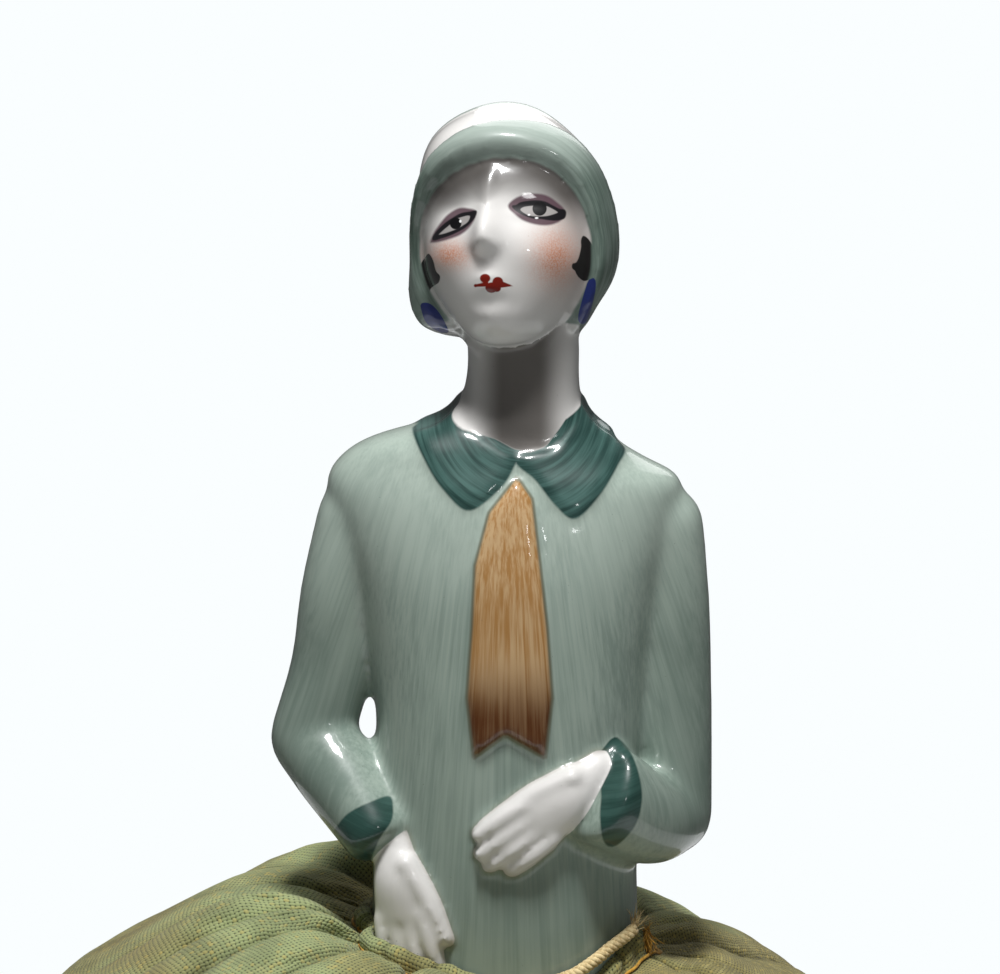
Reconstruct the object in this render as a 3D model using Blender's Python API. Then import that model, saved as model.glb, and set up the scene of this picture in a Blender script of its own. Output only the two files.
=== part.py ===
"""Pincushion doll: a slip-cast porcelain half figure of a girl in a cloche hat, sewn into the
gathered neck of a stuffed linen pincushion. Metres, +Z up, front towards -Y. The origin is the
middle of the cushion's outline, on the surface that it stands on."""

import math

import bpy
import bmesh
import numpy as np
from mathutils import Euler, Matrix, Vector

MM = 0.001

# Cushion
CUSHION_WIDTH = 115 * MM
CUSHION_DEPTH = 112 * MM
WIDEST_HEIGHT = 22 * MM
BASE_WIDTH = 82 * MM
CREST_RISE = 1.6 * MM
TOP_SINK = 1.2 * MM
TOP_FULLNESS = 1.75
DOLL_OFFSET = 7 * MM
SIDE_SLOPE = 0.11
FRONT_SLOPE = 0.11
NECK_SINK = 2.0 * MM
NECK_FRONT_SINK = 4.4 * MM
DIP_ANGLE = math.radians(290)
FOLD_RISE = 2.4 * MM
FOLD_ANGLE = math.radians(218)
FOLD_SPREAD = math.radians(30)
LEFT_DENT = 2.6 * MM

# Cloth, and what lies under it
CLOTH = 0.8 * MM
CLEARANCE = 0.35 * MM
PLEATS = 24
PLEAT_DEPTH = 1.7 * MM
FRILL_HEIGHT = 1.8 * MM
HAND_ROOM = 3.0 * MM
HAND_ANGLE = math.radians(231)
HAND_SPREAD = math.radians(24)
BASE_HEM = 9 * MM
CARD_THICKNESS = 1.6 * MM
BASE_CLOTH = 1.0 * MM
STUFFING_IN_DOLL = 20 * MM
TIE_CORD = 1.1 * MM
CORD_START = math.radians(247)
CORD_END = math.radians(332)
CORD_LIFT = 2.7 * MM
GATHER_THREAD = 0.6 * MM
GATHER_RISE = 2.2 * MM
SEW_THREAD = 0.8 * MM

# Figure, with its heights above the waist line
WAIST_HEIGHT = 52.2 * MM
WAIST_WIDTH = 31.6 * MM
WAIST_DEPTH = 23.2 * MM
SHOULDER_WIDTH = 41.6 * MM
SHOULDER_HEIGHT = 53.8 * MM
SHOULDER_DEPTH = 18.0 * MM
NECK_WIDTH = 13.1 * MM
NECK_LENGTH = 12.2 * MM
NECK_LEAN = 2.1 * MM
SLEEVE = 9.4 * MM
CUFF_WIDTH = 12.4 * MM
HAND_LENGTH = 16 * MM
HAND_WIDTH = 7.0 * MM
PORCELAIN_WALL = 2.2 * MM
FLANGE_DROP = 16 * MM
FLANGE_WIDTH = 34.6 * MM
SEW_HOLE = 2.2 * MM
SEW_HOLES = 4
SEW_EDGE = 2.6 * MM
BODY_FULLNESS = 2.25

# Sizes that follow from these
NECK_HEIGHT = SHOULDER_HEIGHT + NECK_LENGTH
FLARE = (FLANGE_WIDTH - WAIST_WIDTH) / 2
NECK_GAP = 2 * CLEARANCE + 2 * CLOTH
HEM_LEVEL = BASE_CLOTH + CLEARANCE
CARD_BOTTOM = HEM_LEVEL + CLOTH + CLEARANCE
FILLING_BOTTOM = CARD_BOTTOM + CARD_THICKNESS + CLEARANCE
PIT_WALL = FLARE + CLEARANCE + CLOTH + SEW_THREAD + 2 * CLEARANCE
SEW_HEIGHT = WAIST_HEIGHT - FLANGE_DROP + SEW_HOLE / 2 + SEW_EDGE

# Head and hat
HEAD_RISE = 16.1 * MM
HEAD_CENTRE = (0.8 * MM, 0.6 * MM, NECK_HEIGHT + HEAD_RISE)
HEAD_TILT = math.radians(25)
HEAD_ROLL = math.radians(5)
HEAD_TURN = math.radians(15)
FACE_WIDTH = 20.4 * MM
FACE_HEIGHT = 30.5 * MM
BRIM_WIDTH = 6.8 * MM
HAT_THICKNESS = 0.9 * MM
HAT_BAND = 4.4 * MM

# The hat's edge: the angle from the front of the face, against the angle round it
HAT_OPENING = ([-180, -150, -128, -105, -93, -75, -57, -38, -18, -2, 15, 31, 50, 66, 86, 99, 125, 150, 180],
               [104, 96, 86, 76, 68, 50, 39, 32.5, 30, 30, 32, 36, 45, 55, 68, 76, 88, 98, 104])
# The brim's width against the same angle, as a share of its full width
BRIM_SHARE = ([-180, -130, -102, -84, -58, -29, -6, 15, 28, 40, 60, 140, 180],
              [0.8, 0.8, 0.72, 0.36, 0.5, 0.46, 0.5, 0.66, 0.84, 0.98, 1.0, 0.95, 0.8])

# Collar and tie: outlines seen from the front, as (across, above the shoulders' widest
# level) in millimetres
COLLAR_RISE = 0.6 * MM
COLLAR_BACK = (4.2, 9.2)
COLLAR_EDGE = 0.4
TIE_RISE = 0.8 * MM
COLLAR_LEFT = [(-5.2, 9.8), (-4.7, 6.7), (-1.8, 5.5), (1.2, 4.0), (0.9, 2.4), (-0.7, 0.2),
               (-4.2, -2.4), (-7.0, -0.2), (-9.1, 2.9), (-10.9, 6.6), (-9.6, 9.2)]
COLLAR_RIGHT = [(1.2, 4.0), (5.5, 4.6), (8.2, 7.7), (9.0, 10.1), (11.9, 9.2), (14.2, 5.0),
                (13.2, 2.4), (11.1, -0.8), (8.2, -3.3), (5.9, -1.7), (3.5, 1.3), (1.5, 2.9)]
TIE = [(1.4, 1.6), (-1.9, -2.3), (-3.5, -8.4), (-3.9, -15.9), (-4.4, -24.2), (-3.6, -31.3),
       (0.0, -28.5), (4.7, -31.3), (5.5, -24.2), (4.9, -15.9), (4.1, -8.4), (3.2, -0.6)]

# How finely the porcelain is worked
SCULPT_VOXEL = 0.55 * MM
SCULPT_SHARE = 0.052


def clear_scene():
    for thing in list(bpy.data.objects):
        bpy.data.objects.remove(thing)


def material(name, colour, roughness):
    made = bpy.data.materials.new(name)
    made.use_nodes = True
    shader = made.node_tree.nodes["Principled BSDF"]
    shader.inputs["Base Color"].default_value = (*colour, 1.0)
    shader.inputs["Roughness"].default_value = roughness
    return made


def smooth_step(low, high, value):
    t = np.clip((value - low) / (high - low), 0, 1)
    return t * t * (3 - 2 * t)


def smooth_rows(stations, per_span):
    """Rows read from a smooth curve through the rows of the stations."""
    rows = np.array(stations, float)
    padded = np.vstack([2 * rows[0] - rows[1], rows, 2 * rows[-1] - rows[-2]])
    found = []
    for i in range(len(rows) - 1):
        a, b, c, d = padded[i : i + 4]
        for t in np.arange(per_span) / per_span:
            bend = (2 * a - 5 * b + 4 * c - d) * t**2 + (3 * b - a - 3 * c + d) * t**3
            found.append(0.5 * (2 * b + (c - a) * t + bend))
    found.append(rows[-1])
    return np.array(found)


def mesh_of_rings(name, rings, closed=False):
    """A closed mesh through rings of points. An open run of rings gets a cap at each end."""
    shape = bmesh.new()
    loops = [[shape.verts.new(point) for point in ring] for ring in rings]
    followers = loops[1:] + loops[:1] if closed else loops[1:]
    for first, second in zip(loops, followers):
        count = len(first)
        for i in range(count):
            j = (i + 1) % count
            shape.faces.new((first[i], first[j], second[j], second[i]))
    if not closed:
        shape.faces.new(loops[0])
        shape.faces.new(loops[-1])
    bmesh.ops.recalc_face_normals(shape, faces=shape.faces)
    mesh = bpy.data.meshes.new(name)
    shape.to_mesh(mesh)
    shape.free()
    return mesh


def add_object(name, mesh, look=None):
    made = bpy.data.objects.new(name, mesh)
    bpy.context.scene.collection.objects.link(made)
    if look:
        mesh.materials.clear()
        mesh.materials.append(look)
    return made


def apply_modifiers(thing):
    graph = bpy.context.evaluated_depsgraph_get()
    mesh = bpy.data.meshes.new_from_object(thing.evaluated_get(graph))
    thing.modifiers.clear()
    thing.data = mesh
    return thing


def joined(name, meshes):
    shape = bmesh.new()
    for mesh in meshes:
        shape.from_mesh(mesh)
    mesh = bpy.data.meshes.new(name)
    shape.to_mesh(mesh)
    shape.free()
    return mesh


def cut(thing, name, mesh):
    """Takes a mesh away from a thing."""
    cutter = add_object(name, mesh)
    boolean = thing.modifiers.new(name, "BOOLEAN")
    boolean.operation = "DIFFERENCE"
    boolean.solver = "EXACT"
    boolean.object = cutter
    apply_modifiers(thing)
    bpy.data.objects.remove(cutter)


def tube(name, points, radii, sides, closed=False):
    """A round cord through points. A closed one is a ring, an open one has pinched ends."""
    points = [Vector(point) for point in points]
    rings = []
    count = len(points)
    for i, (point, radius) in enumerate(zip(points, radii)):
        before = points[i - 1] if closed or i else point
        after = points[(i + 1) % count] if closed or i + 1 < count else point
        along = (after - before).normalized()
        side = along.cross(Vector((0.13, 0.21, 0.97))).normalized()
        lift = side.cross(along)
        rings.append([
            point + (side * math.cos(a) + lift * math.sin(a)) * radius
            for a in np.arange(sides) * 2 * math.pi / sides
        ])
    return mesh_of_rings(name, rings, closed)


# Limbs

def limb_ring(row, tangent, wide_axis, sides, along, share):
    """One ring of a limb, moved along it and shrunk where it closes a rounded end."""
    thick = np.cross(tangent, wide_axis)
    thick /= np.linalg.norm(thick)
    wide = np.cross(thick, tangent)
    centre = row[:3] + tangent * along * min(row[3], row[4])
    turns = np.arange(sides) * 2 * math.pi / sides
    return [
        centre + wide * row[3] * share * math.cos(a) + thick * row[4] * share * math.sin(a)
        for a in turns
    ]


def limb(name, stations, wide_axis, sides=20, per_span=5, blunt=1.0):
    """A limb through stations of (x, y, z, half width, half thickness), with its width along
    wide_axis. Its start is round, and its end is round at blunt 1 and flatter below that."""
    rows = smooth_rows(stations, per_span)
    tangents = np.gradient(rows[:, :3], axis=0)
    tangents /= np.linalg.norm(tangents, axis=1)[:, None]
    steps = [(math.sin(a), math.cos(a)) for a in np.radians([75, 50, 25])]
    rings = [limb_ring(rows[0], tangents[0], wide_axis, sides, -s, c) for s, c in steps]
    for row, tangent in zip(rows, tangents):
        rings.append(limb_ring(row, tangent, wide_axis, sides, 0, 1))
    for s, c in steps[::-1]:
        rings.append(limb_ring(rows[-1], tangents[-1], wide_axis, sides, s * blunt, c))
    return mesh_of_rings(name, rings)


# Body

def body_stations():
    """Rows of (height, sideways, backward, half width, depth in front, depth behind)."""
    waist, deep = WAIST_WIDTH / 2, WAIST_DEPTH / 2
    broad, top = SHOULDER_WIDTH / 2, SHOULDER_HEIGHT
    flat, neck, lean = SHOULDER_DEPTH / 2, NECK_WIDTH / 2, NECK_LEAN
    rim = FLANGE_WIDTH / 2
    flare = rim - waist
    slim = deep - 1.3 * MM
    rise = (NECK_HEIGHT - top) / 5
    return [
        (-FLANGE_DROP, 0, 0, rim, deep + flare, deep + flare),
        (-FLANGE_DROP * 0.75, 0, 0, rim, deep + flare, deep + flare),
        (-FLANGE_DROP * 0.52, 0, 0, waist, deep, deep),
        (0, 0, 0, waist, deep, deep),
        (top * 0.17, 0, 0, waist - 0.2 * MM, deep, deep - 0.4 * MM),
        (top * 0.38, lean * 0.15, 0, waist - 0.3 * MM, deep, slim),
        (top * 0.57, lean * 0.25, 0, waist + (broad - waist) * 0.05, deep + 0.1 * MM, slim),
        (top * 0.76, lean * 0.2, 0.2 * MM, waist + (broad - waist) * 0.38, deep, slim),
        (top * 0.87, lean * 0.1, 0.4 * MM, waist + (broad - waist) * 0.7, flat + 1.9 * MM, slim),
        (top * 0.95, 0, 0.6 * MM, waist + (broad - waist) * 0.93, flat + 1.0 * MM, flat + 0.4 * MM),
        (top, -lean * 0.1, 0.8 * MM, broad - 0.2 * MM, flat + 0.1 * MM, flat - 0.3 * MM),
        (top + rise * 0.85, -lean * 0.7, 1.0 * MM, broad - 2.7 * MM, flat - 0.8 * MM, flat - 1.0 * MM),
        (top + rise * 1.6, -lean * 0.85, 1.1 * MM, broad - 5.4 * MM, flat - 1.5 * MM, flat - 1.7 * MM),
        (top + rise * 2.15, -lean * 0.3, 1.2 * MM, neck + 6.4 * MM, flat - 2.1 * MM, flat - 2.3 * MM),
        (top + rise * 2.7, lean * 0.5, 1.2 * MM, neck + 2.8 * MM, neck + 0.4 * MM, neck),
        (top + rise * 3.6, lean * 0.85, 1.1 * MM, neck + 0.7 * MM, neck + 0.1 * MM, neck - 0.1 * MM),
        (NECK_HEIGHT, lean, 0.9 * MM, neck, neck - 0.2 * MM, neck - 0.2 * MM),
        (NECK_HEIGHT + 4 * MM, lean, 0.6 * MM, neck, neck - 0.2 * MM, neck - 0.2 * MM),
        (NECK_HEIGHT + 9 * MM, lean * 0.6, 0.4 * MM, neck, neck - 0.3 * MM, neck - 0.2 * MM),
        (NECK_HEIGHT + 14 * MM, lean * 0.4, 0.3 * MM, neck - 1.2 * MM, neck - 1.2 * MM, neck - 1 * MM),
    ]


def body_ring(row, sides, inset=0.0):
    """One level of the body: a full oval, a little squarer than an ellipse."""
    height, sideways, backward, half_width, front, back = row
    fullness = 2 / BODY_FULLNESS
    points = []
    for angle in np.arange(sides) * 2 * math.pi / sides:
        c, s = math.cos(angle), math.sin(angle)
        depth = (back if s > 0 else front) - inset
        x = math.copysign(abs(c) ** fullness, c) * (half_width - inset)
        y = math.copysign(abs(s) ** fullness, s) * depth
        points.append(Vector((x + sideways, y + backward, height)))
    return points


def body_mesh():
    rows = smooth_rows(body_stations(), 4)
    return mesh_of_rings("body", [body_ring(row, 40) for row in rows])


def body_front(x, height):
    """How far forward the body reaches at a point of its front."""
    rows = np.array(body_stations())
    row = [np.interp(height, rows[:, 0], column) for column in rows[:, 1:].T]
    sideways, backward, half_width, front, _ = row
    share = min(abs(x - sideways) / half_width, 0.98)
    return backward - front * (1 - share**BODY_FULLNESS) ** (1 / BODY_FULLNESS)


# Head and hat

def head_matrix():
    turn = Euler((-HEAD_TILT, -HEAD_ROLL, -HEAD_TURN), "XYZ").to_matrix().to_4x4()
    return Matrix.Translation(HEAD_CENTRE) @ turn


def bump(x, z, at_x, at_z, wide, tall):
    return np.exp(-(((x - at_x) / wide) ** 2) - ((z - at_z) / tall) ** 2)


def head_reach(directions):
    """How far the bare head reaches in each direction from its middle, in millimetres."""
    dx, dy, dz = directions.T
    half = FACE_WIDTH / MM / 2
    tall = FACE_HEIGHT / MM / 2
    reach = np.full(len(directions), half)
    for _ in range(6):
        z = reach * dz / tall
        jaw = smooth_step(-0.25, -0.95, z)
        wide = half * (1 - 0.30 * jaw)
        deep = np.where(dy < 0, half * (1.06 - 0.06 * jaw), half * 1.02)
        reach = 1 / np.sqrt((dx / wide) ** 2 + (dy / deep) ** 2 + (dz / (tall * 1.06)) ** 2)
    under_jaw = dy * 0.42 - dz * 0.907
    floor = tall * 0.80 / np.maximum(under_jaw, 0.05)
    return (reach**-9.0 + floor**-9.0) ** (-1 / 9)


def hat_inside(directions, reach):
    """Distance in millimetres in from the edge of the hat: negative on bare skin."""
    dx, dy, dz = directions.T
    from_front = np.degrees(np.arccos(np.clip(-dy, -1, 1)))
    around = np.degrees(np.arctan2(dx, dz))
    edge = np.interp(around, *HAT_OPENING)
    opening = np.radians(from_front - edge) * FACE_WIDTH / MM * 0.54
    hem = reach * dz + FACE_HEIGHT / MM * 0.328 + 0.6 * np.clip(dx, -1, 1)
    return np.minimum(opening, hem)


def brim_width(directions):
    """Width of the brim in millimetres: it is narrow at the left of the brow."""
    around = np.degrees(np.arctan2(directions[:, 0], directions[:, 2]))
    return np.interp(around, *BRIM_SHARE) * BRIM_WIDTH / MM


def hat_thickness(inside, brim):
    """Thickness of the hat: the rolled brim, then the band, then the crown."""
    thick, band = HAT_THICKNESS / MM, HAT_BAND / MM
    edge = smooth_step(-0.35, 0.7, inside)
    brim_roll = 1 - smooth_step(brim - 0.5, brim + 0.5, inside)
    crown = smooth_step(brim + band - 0.4, brim + band + 0.4, inside)
    return edge * (thick + 0.75 * brim_roll + 0.35 * crown)


def face_relief(x, z):
    """Height of the features over the plain face, in millimetres."""
    down = smooth_step(2.2, -4.2, z) * (1 - smooth_step(-4.9, -6.3, z))
    nose = down * (0.45 + 2.25 * down) * np.exp(-((x / (0.75 + 0.5 * down)) ** 2))
    wings = 0.35 * (bump(x, z, -1.15, -4.9, 0.6, 0.6) + bump(x, z, 1.15, -4.9, 0.6, 0.6))
    bridge = 0.5 * bump(x, z, 0, 2.2, 1.2, 2.8)
    mouth = 0.45 * bump(x, z, 0, -8.6, 2.3, 1.4) - 0.25 * bump(x, z, 0, -10.6, 2.6, 0.9)
    lips = 0.28 * bump(x, z, 0, -8.0, 1.4, 0.42) + 0.3 * bump(x, z, 0, -9.1, 1.1, 0.45)
    chin = 0.7 * bump(x, z, 0, -13.0, 2.9, 2.0)
    paired = 0
    for side in (-1, 1):
        paired = paired - 0.85 * bump(x, z, side * 4.4, -0.2, 2.7, 1.9)
        paired = paired + 0.55 * bump(x, z, side * 4.5, -0.5, 1.9, 0.85)
        paired = paired + 0.4 * bump(x, z, side * 5.4, -5.2, 2.8, 2.2)
    return nose + wings + bridge + mouth + lips + chin + paired


def head_mesh(subdivisions):
    shape = bmesh.new()
    bmesh.ops.create_icosphere(shape, subdivisions=subdivisions, radius=1.0)
    directions = np.array([v.co.normalized() for v in shape.verts])
    reach = head_reach(directions)
    inside = hat_inside(directions, reach)
    covered = smooth_step(0, 3, inside)
    fullness = 1.0 * smooth_step(-0.3, 0.5, directions[:, 1])
    flare = 1.9 * bump(directions[:, 0], directions[:, 2], -0.85, -0.62, 0.35, 0.3)
    flare = flare - 0.9 * bump(directions[:, 0], directions[:, 2], 0.75, -0.6, 0.3, 0.3)
    lean = 1.3 * bump(directions[:, 0], directions[:, 2], -0.62, 0.74, 0.4, 0.35)
    lean = lean - 1.7 * bump(directions[:, 0], directions[:, 2], 0.22, 0.97, 0.6, 0.3)
    reach = reach + hat_thickness(inside, brim_width(directions))
    reach = reach + covered * (fullness + flare + lean)
    points = directions * reach[:, None]
    facing = smooth_step(-0.3, -0.7, directions[:, 1]) * (1 - smooth_step(-0.8, 0.2, inside))
    points[:, 1] -= facing * face_relief(points[:, 0], points[:, 2])
    for vert, point in zip(shape.verts, points):
        vert.co = Vector(point) * MM
    mesh = bpy.data.meshes.new("head")
    shape.to_mesh(mesh)
    shape.free()
    mesh.transform(head_matrix())
    return mesh


# Arms and hands

def arm_meshes():
    """Both sleeves: each an upper arm and a forearm that ends in its cuff."""
    across, upright = (1, 0, 0), (0, 0, 1)
    thick = SLEEVE / 2
    out = SHOULDER_WIDTH / 2 - 0.35 * thick
    high = SHOULDER_HEIGHT - thick * 1.02
    hip_elbow = (-out - 3.8 * MM, 1.2 * MM, 22.4 * MM)
    hip_cuff = hip_wrist() + Vector((-1.6, 1.4, 1.6)) * MM
    lap_elbow = (out + 0.7 * MM, 0.6 * MM, 13.2 * MM)
    lap_cuff = lap_wrist() + Vector((1.6, 1.5, -1.4)) * MM
    hip_upper = [
        (-out + 1.8 * MM, 1.0 * MM, high, thick, thick * 1.05),
        (-out - 0.4 * MM, 1.0 * MM, high - 9.0 * MM, thick * 0.96, thick * 1.05),
        (-out - 1.3 * MM, 1.2 * MM, high - 18 * MM, thick * 1.04, thick),
        (*hip_elbow, thick * 1.04, thick),
    ]
    hip_fore = [
        (*hip_elbow, thick * 1.04, thick),
        (-out - 0.2 * MM, -2.6 * MM, 18.6 * MM, thick * 1.08, thick),
        (*hip_cuff, thick * 0.95, thick * 0.9),
    ]
    lap_upper = [
        (out - 0.5 * MM, 1.0 * MM, high - 1.0 * MM, thick, thick * 1.05),
        (out + 0.2 * MM, 1.0 * MM, high - 11 * MM, thick * 1.02, thick * 1.05),
        (out + 0.5 * MM, 1.0 * MM, high - 21 * MM, thick * 1.02, thick * 1.02),
        (*lap_elbow, thick * 1.0, thick * 1.04),
    ]
    lap_fore = [
        (*lap_elbow, thick, thick),
        (out - 2.4 * MM, -5.0 * MM, 14.0 * MM, thick * 1.16, thick),
        (*lap_cuff, CUFF_WIDTH / 2, thick * 1.02),
    ]
    return [
        limb("hip_upper_arm", hip_upper, across),
        limb("hip_forearm", hip_fore, across, blunt=0.45),
        limb("lap_upper_arm", lap_upper, across),
        limb("lap_forearm", lap_fore, upright, blunt=0.4),
    ]


def hip_wrist():
    x, z = -13.4 * MM, 11.4 * MM
    return Vector((x, body_front(x + 2.4 * MM, z) - 0.4 * MM, z))


def lap_wrist():
    x, z = 10.4 * MM, 20.4 * MM
    return Vector((x, body_front(x, z) - 2.0 * MM, z))


def hand_meshes(name, wrist, aim, facing, thumb_side, thumb_spread):
    """A flat palm, four fingers side by side and a thumb. aim is the way that it points along
    the front of the body, facing the way that its back looks, and thumb_side is +1 or -1."""
    along = Vector((aim[0], 0, aim[1])).normalized()
    tip = wrist + along * HAND_LENGTH
    tip.y = body_front(tip.x, max(tip.z, 0)) - 0.9 * MM
    along = (tip - wrist).normalized()
    outward = Vector((*facing, 0))
    outward = (outward - along * outward.dot(along)).normalized()
    across = along.cross(outward).normalized() * thumb_side
    wide = HAND_WIDTH / 2

    def place(forward, sideways, lift):
        return wrist + along * (HAND_LENGTH * forward) + across * sideways + outward * lift

    palm = [
        (*place(0.08, 0, 0), wide * 0.8, wide * 0.62),
        (*place(0.2, 0, 0.1 * MM), wide * 0.84, wide * 0.60),
        (*place(0.5, 0, 0.1 * MM), wide * 1.0, wide * 0.46),
    ]
    made = [limb(f"{name}_palm", palm, across)]
    reaches = (0.93, 1.0, 0.99, 0.88)
    for i, reach in enumerate(reaches):
        sideways = wide * (0.76 - 0.5 * i)
        fan = 1.0 + 0.06 * abs(i - 1.5)
        finger = [
            (*place(0.5, sideways, 0.15 * MM), wide * 0.32, wide * 0.40),
            (*place(reach * 0.78, sideways * fan, 0.25 * MM), wide * 0.29, wide * 0.38),
            (*place(reach, sideways * fan, -0.1 * MM), wide * 0.21, wide * 0.28),
        ]
        made.append(limb(f"{name}_finger_{i}", finger, across, 12, 3))
    thumb = [
        (*place(0.12, wide * 0.5, 0.2 * MM), wide * 0.36, wide * 0.42),
        (*place(0.42, wide * (0.8 + 0.3 * thumb_spread), 0.1 * MM), wide * 0.30, wide * 0.38),
        (*place(0.72, wide * (0.9 + 0.6 * thumb_spread), -0.2 * MM), wide * 0.2, wide * 0.26),
    ]
    made.append(limb(f"{name}_thumb", thumb, across, 12, 3))
    return made


def melt(thing, voxel, passes):
    """Joins the shapes that overlap into one skin and softens where they meet."""
    remesh = thing.modifiers.new("one_skin", "REMESH")
    remesh.mode = "VOXEL"
    remesh.voxel_size = voxel
    soften = thing.modifiers.new("soften", "SMOOTH")
    soften.factor = 0.5
    soften.iterations = passes
    return apply_modifiers(thing)


def sculpted_figure():
    """The outside of the figure: its masses melted together, then the finer forms."""
    figure = add_object("half_doll", joined("masses", [body_mesh(), *arm_meshes()]))
    melt(figure, SCULPT_VOXEL, 14)
    raise_clothes(figure)
    hands = hand_meshes("hip", hip_wrist(), (0.23, -1.0), (-0.35, -0.94), -1, 0.75)
    hands += hand_meshes("lap", lap_wrist(), (-0.8, -0.6), (0.1, -1.0), 1, 0.0)
    figure.data = joined("figure", [figure.data, head_mesh(6), *hands])
    melt(figure, SCULPT_VOXEL, 2)
    return figure


# Collar and tie

def depth_inside(points, outline):
    """How far each point lies inside an outline, negative outside it."""
    ends = np.array(outline)
    nearest = np.full(len(points), 1e9)
    crossings = np.zeros(len(points), bool)
    for a, b in zip(ends, np.roll(ends, -1, axis=0)):
        edge = b - a
        t = np.clip(((points - a) @ edge) / (edge @ edge), 0, 1)
        nearest = np.minimum(nearest, np.linalg.norm(points - a - t[:, None] * edge, axis=1))
        spans = (a[1] > points[:, 1]) != (b[1] > points[:, 1])
        reach = a[0] + (points[:, 1] - a[1]) * edge[0] / (edge[1] if edge[1] else 1e-9)
        crossings ^= spans & (points[:, 0] < reach)
    return np.where(crossings, nearest, -nearest)


def raise_clothes(figure):
    """Lifts the collar and the tie off the front of the jumper."""
    mesh = figure.data
    count = len(mesh.vertices)
    points = np.empty(count * 3)
    normals = np.empty(count * 3)
    mesh.vertices.foreach_get("co", points)
    mesh.vertices.foreach_get("normal", normals)
    points, normals = points.reshape(-1, 3), normals.reshape(-1, 3)
    front = points[:, [0, 2]] / MM - np.array((0, SHOULDER_HEIGHT / MM))
    facing = smooth_step(0.1, 0.35, -normals[:, 1])
    lift = np.zeros(count)
    for outline, height in ((COLLAR_LEFT, COLLAR_RISE), (COLLAR_RIGHT, COLLAR_RISE), (TIE, TIE_RISE)):
        edge = smooth_step(-0.25, 0.45, depth_inside(front, outline))
        lift = np.maximum(lift, edge * height * facing)
    low, high = COLLAR_BACK
    nape = smooth_step(low - COLLAR_EDGE, low + COLLAR_EDGE, front[:, 1])
    nape = nape * (1 - smooth_step(high - COLLAR_EDGE, high + COLLAR_EDGE, front[:, 1]))
    lift = np.maximum(lift, nape * COLLAR_RISE * smooth_step(-0.1, 0.2, normals[:, 1]))
    points += normals * lift[:, None]
    mesh.vertices.foreach_set("co", points.ravel())
    mesh.update()


# The neck of the cushion, round the waist of the doll

def waist_point(angle, offset, hand_room=0.0):
    """A point round the waist, offset from the porcelain, with room for the fingertips."""
    c, s = math.cos(angle), math.sin(angle)
    offset += hand_room * math.exp(-(((angle - HAND_ANGLE) / HAND_SPREAD) ** 2))
    fullness = 2 / BODY_FULLNESS
    x = math.copysign(abs(c) ** fullness, c) * (WAIST_WIDTH / 2 + offset)
    y = math.copysign(abs(s) ** fullness, s) * (WAIST_DEPTH / 2 + offset)
    return Vector((x + DOLL_OFFSET, y, 0))


def front_fold(angle):
    """The cloth is fuller beside the hand that lies on the hip."""
    return FOLD_RISE * math.exp(-(((angle - FOLD_ANGLE) / FOLD_SPREAD) ** 2))


def neck_height(angle):
    """Height of the gathered neck: it dips in front."""
    front = max(math.cos(angle - DIP_ANGLE), 0)
    return WAIST_HEIGHT - NECK_SINK - NECK_FRONT_SINK * front**2 + front_fold(angle) / 2


def top_slope(point, weight):
    return weight * (FRONT_SLOPE * point.y - SIDE_SLOPE * point.x)


def outer_point(angle, share):
    return Vector((CUSHION_WIDTH / 2 * math.cos(angle) * share,
                   CUSHION_DEPTH / 2 * math.sin(angle) * share, 0))


def top_point(angle, share):
    """A point of the smooth top of the cushion, from the neck (0) to its widest line (1)."""
    near = waist_point(angle, NECK_GAP, HAND_ROOM)
    point = near.lerp(outer_point(angle, 1), share)
    across = max((share - 0.1) / 0.9, 0)
    full = math.sqrt(max(1 - across**TOP_FULLNESS, 0))
    crest = CREST_RISE * math.exp(-(((share - 0.2) / 0.13) ** 2))
    dent = LEFT_DENT * math.exp(-(((share - 0.64) / 0.2) ** 2)) * max(-math.cos(angle), 0) ** 2
    top = WAIST_HEIGHT - TOP_SINK + front_fold(angle)
    sink = (1 - smooth_step(0, 0.12, share)) * (top - neck_height(angle) + CREST_RISE * 0.1)
    point.z = WIDEST_HEIGHT + (top - WIDEST_HEIGHT) * full + crest - sink - dent
    point.z += top_slope(point - Vector((DOLL_OFFSET * 0.5, 0, 0)), full)
    return point


def side_point(angle, turn):
    """A point of the cushion's side, from its widest line down to the base."""
    base = BASE_WIDTH / CUSHION_WIDTH
    point = outer_point(angle, base + (1 - base) * math.cos(turn))
    point.z = HEM_LEVEL + (WIDEST_HEIGHT - HEM_LEVEL) * (1 - math.sin(turn))
    return point


def tube_point(angle, offset, height, hand_room):
    point = waist_point(angle, offset, hand_room)
    point.z = height
    return point


def pleat(angle, depth):
    """The gathers: round ridges and narrow valleys, none quite like the next."""
    drift = 0.05 * math.sin(2 * angle + 1) + 0.028 * math.sin(5 * angle + 0.5)
    phase = PLEATS * (angle + drift) / 2
    size = 1 + 0.3 * math.sin(3 * angle + 2) + 0.22 * math.sin(7 * angle + 1)
    return depth * size * (abs(math.sin(phase)) - 0.62)


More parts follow.
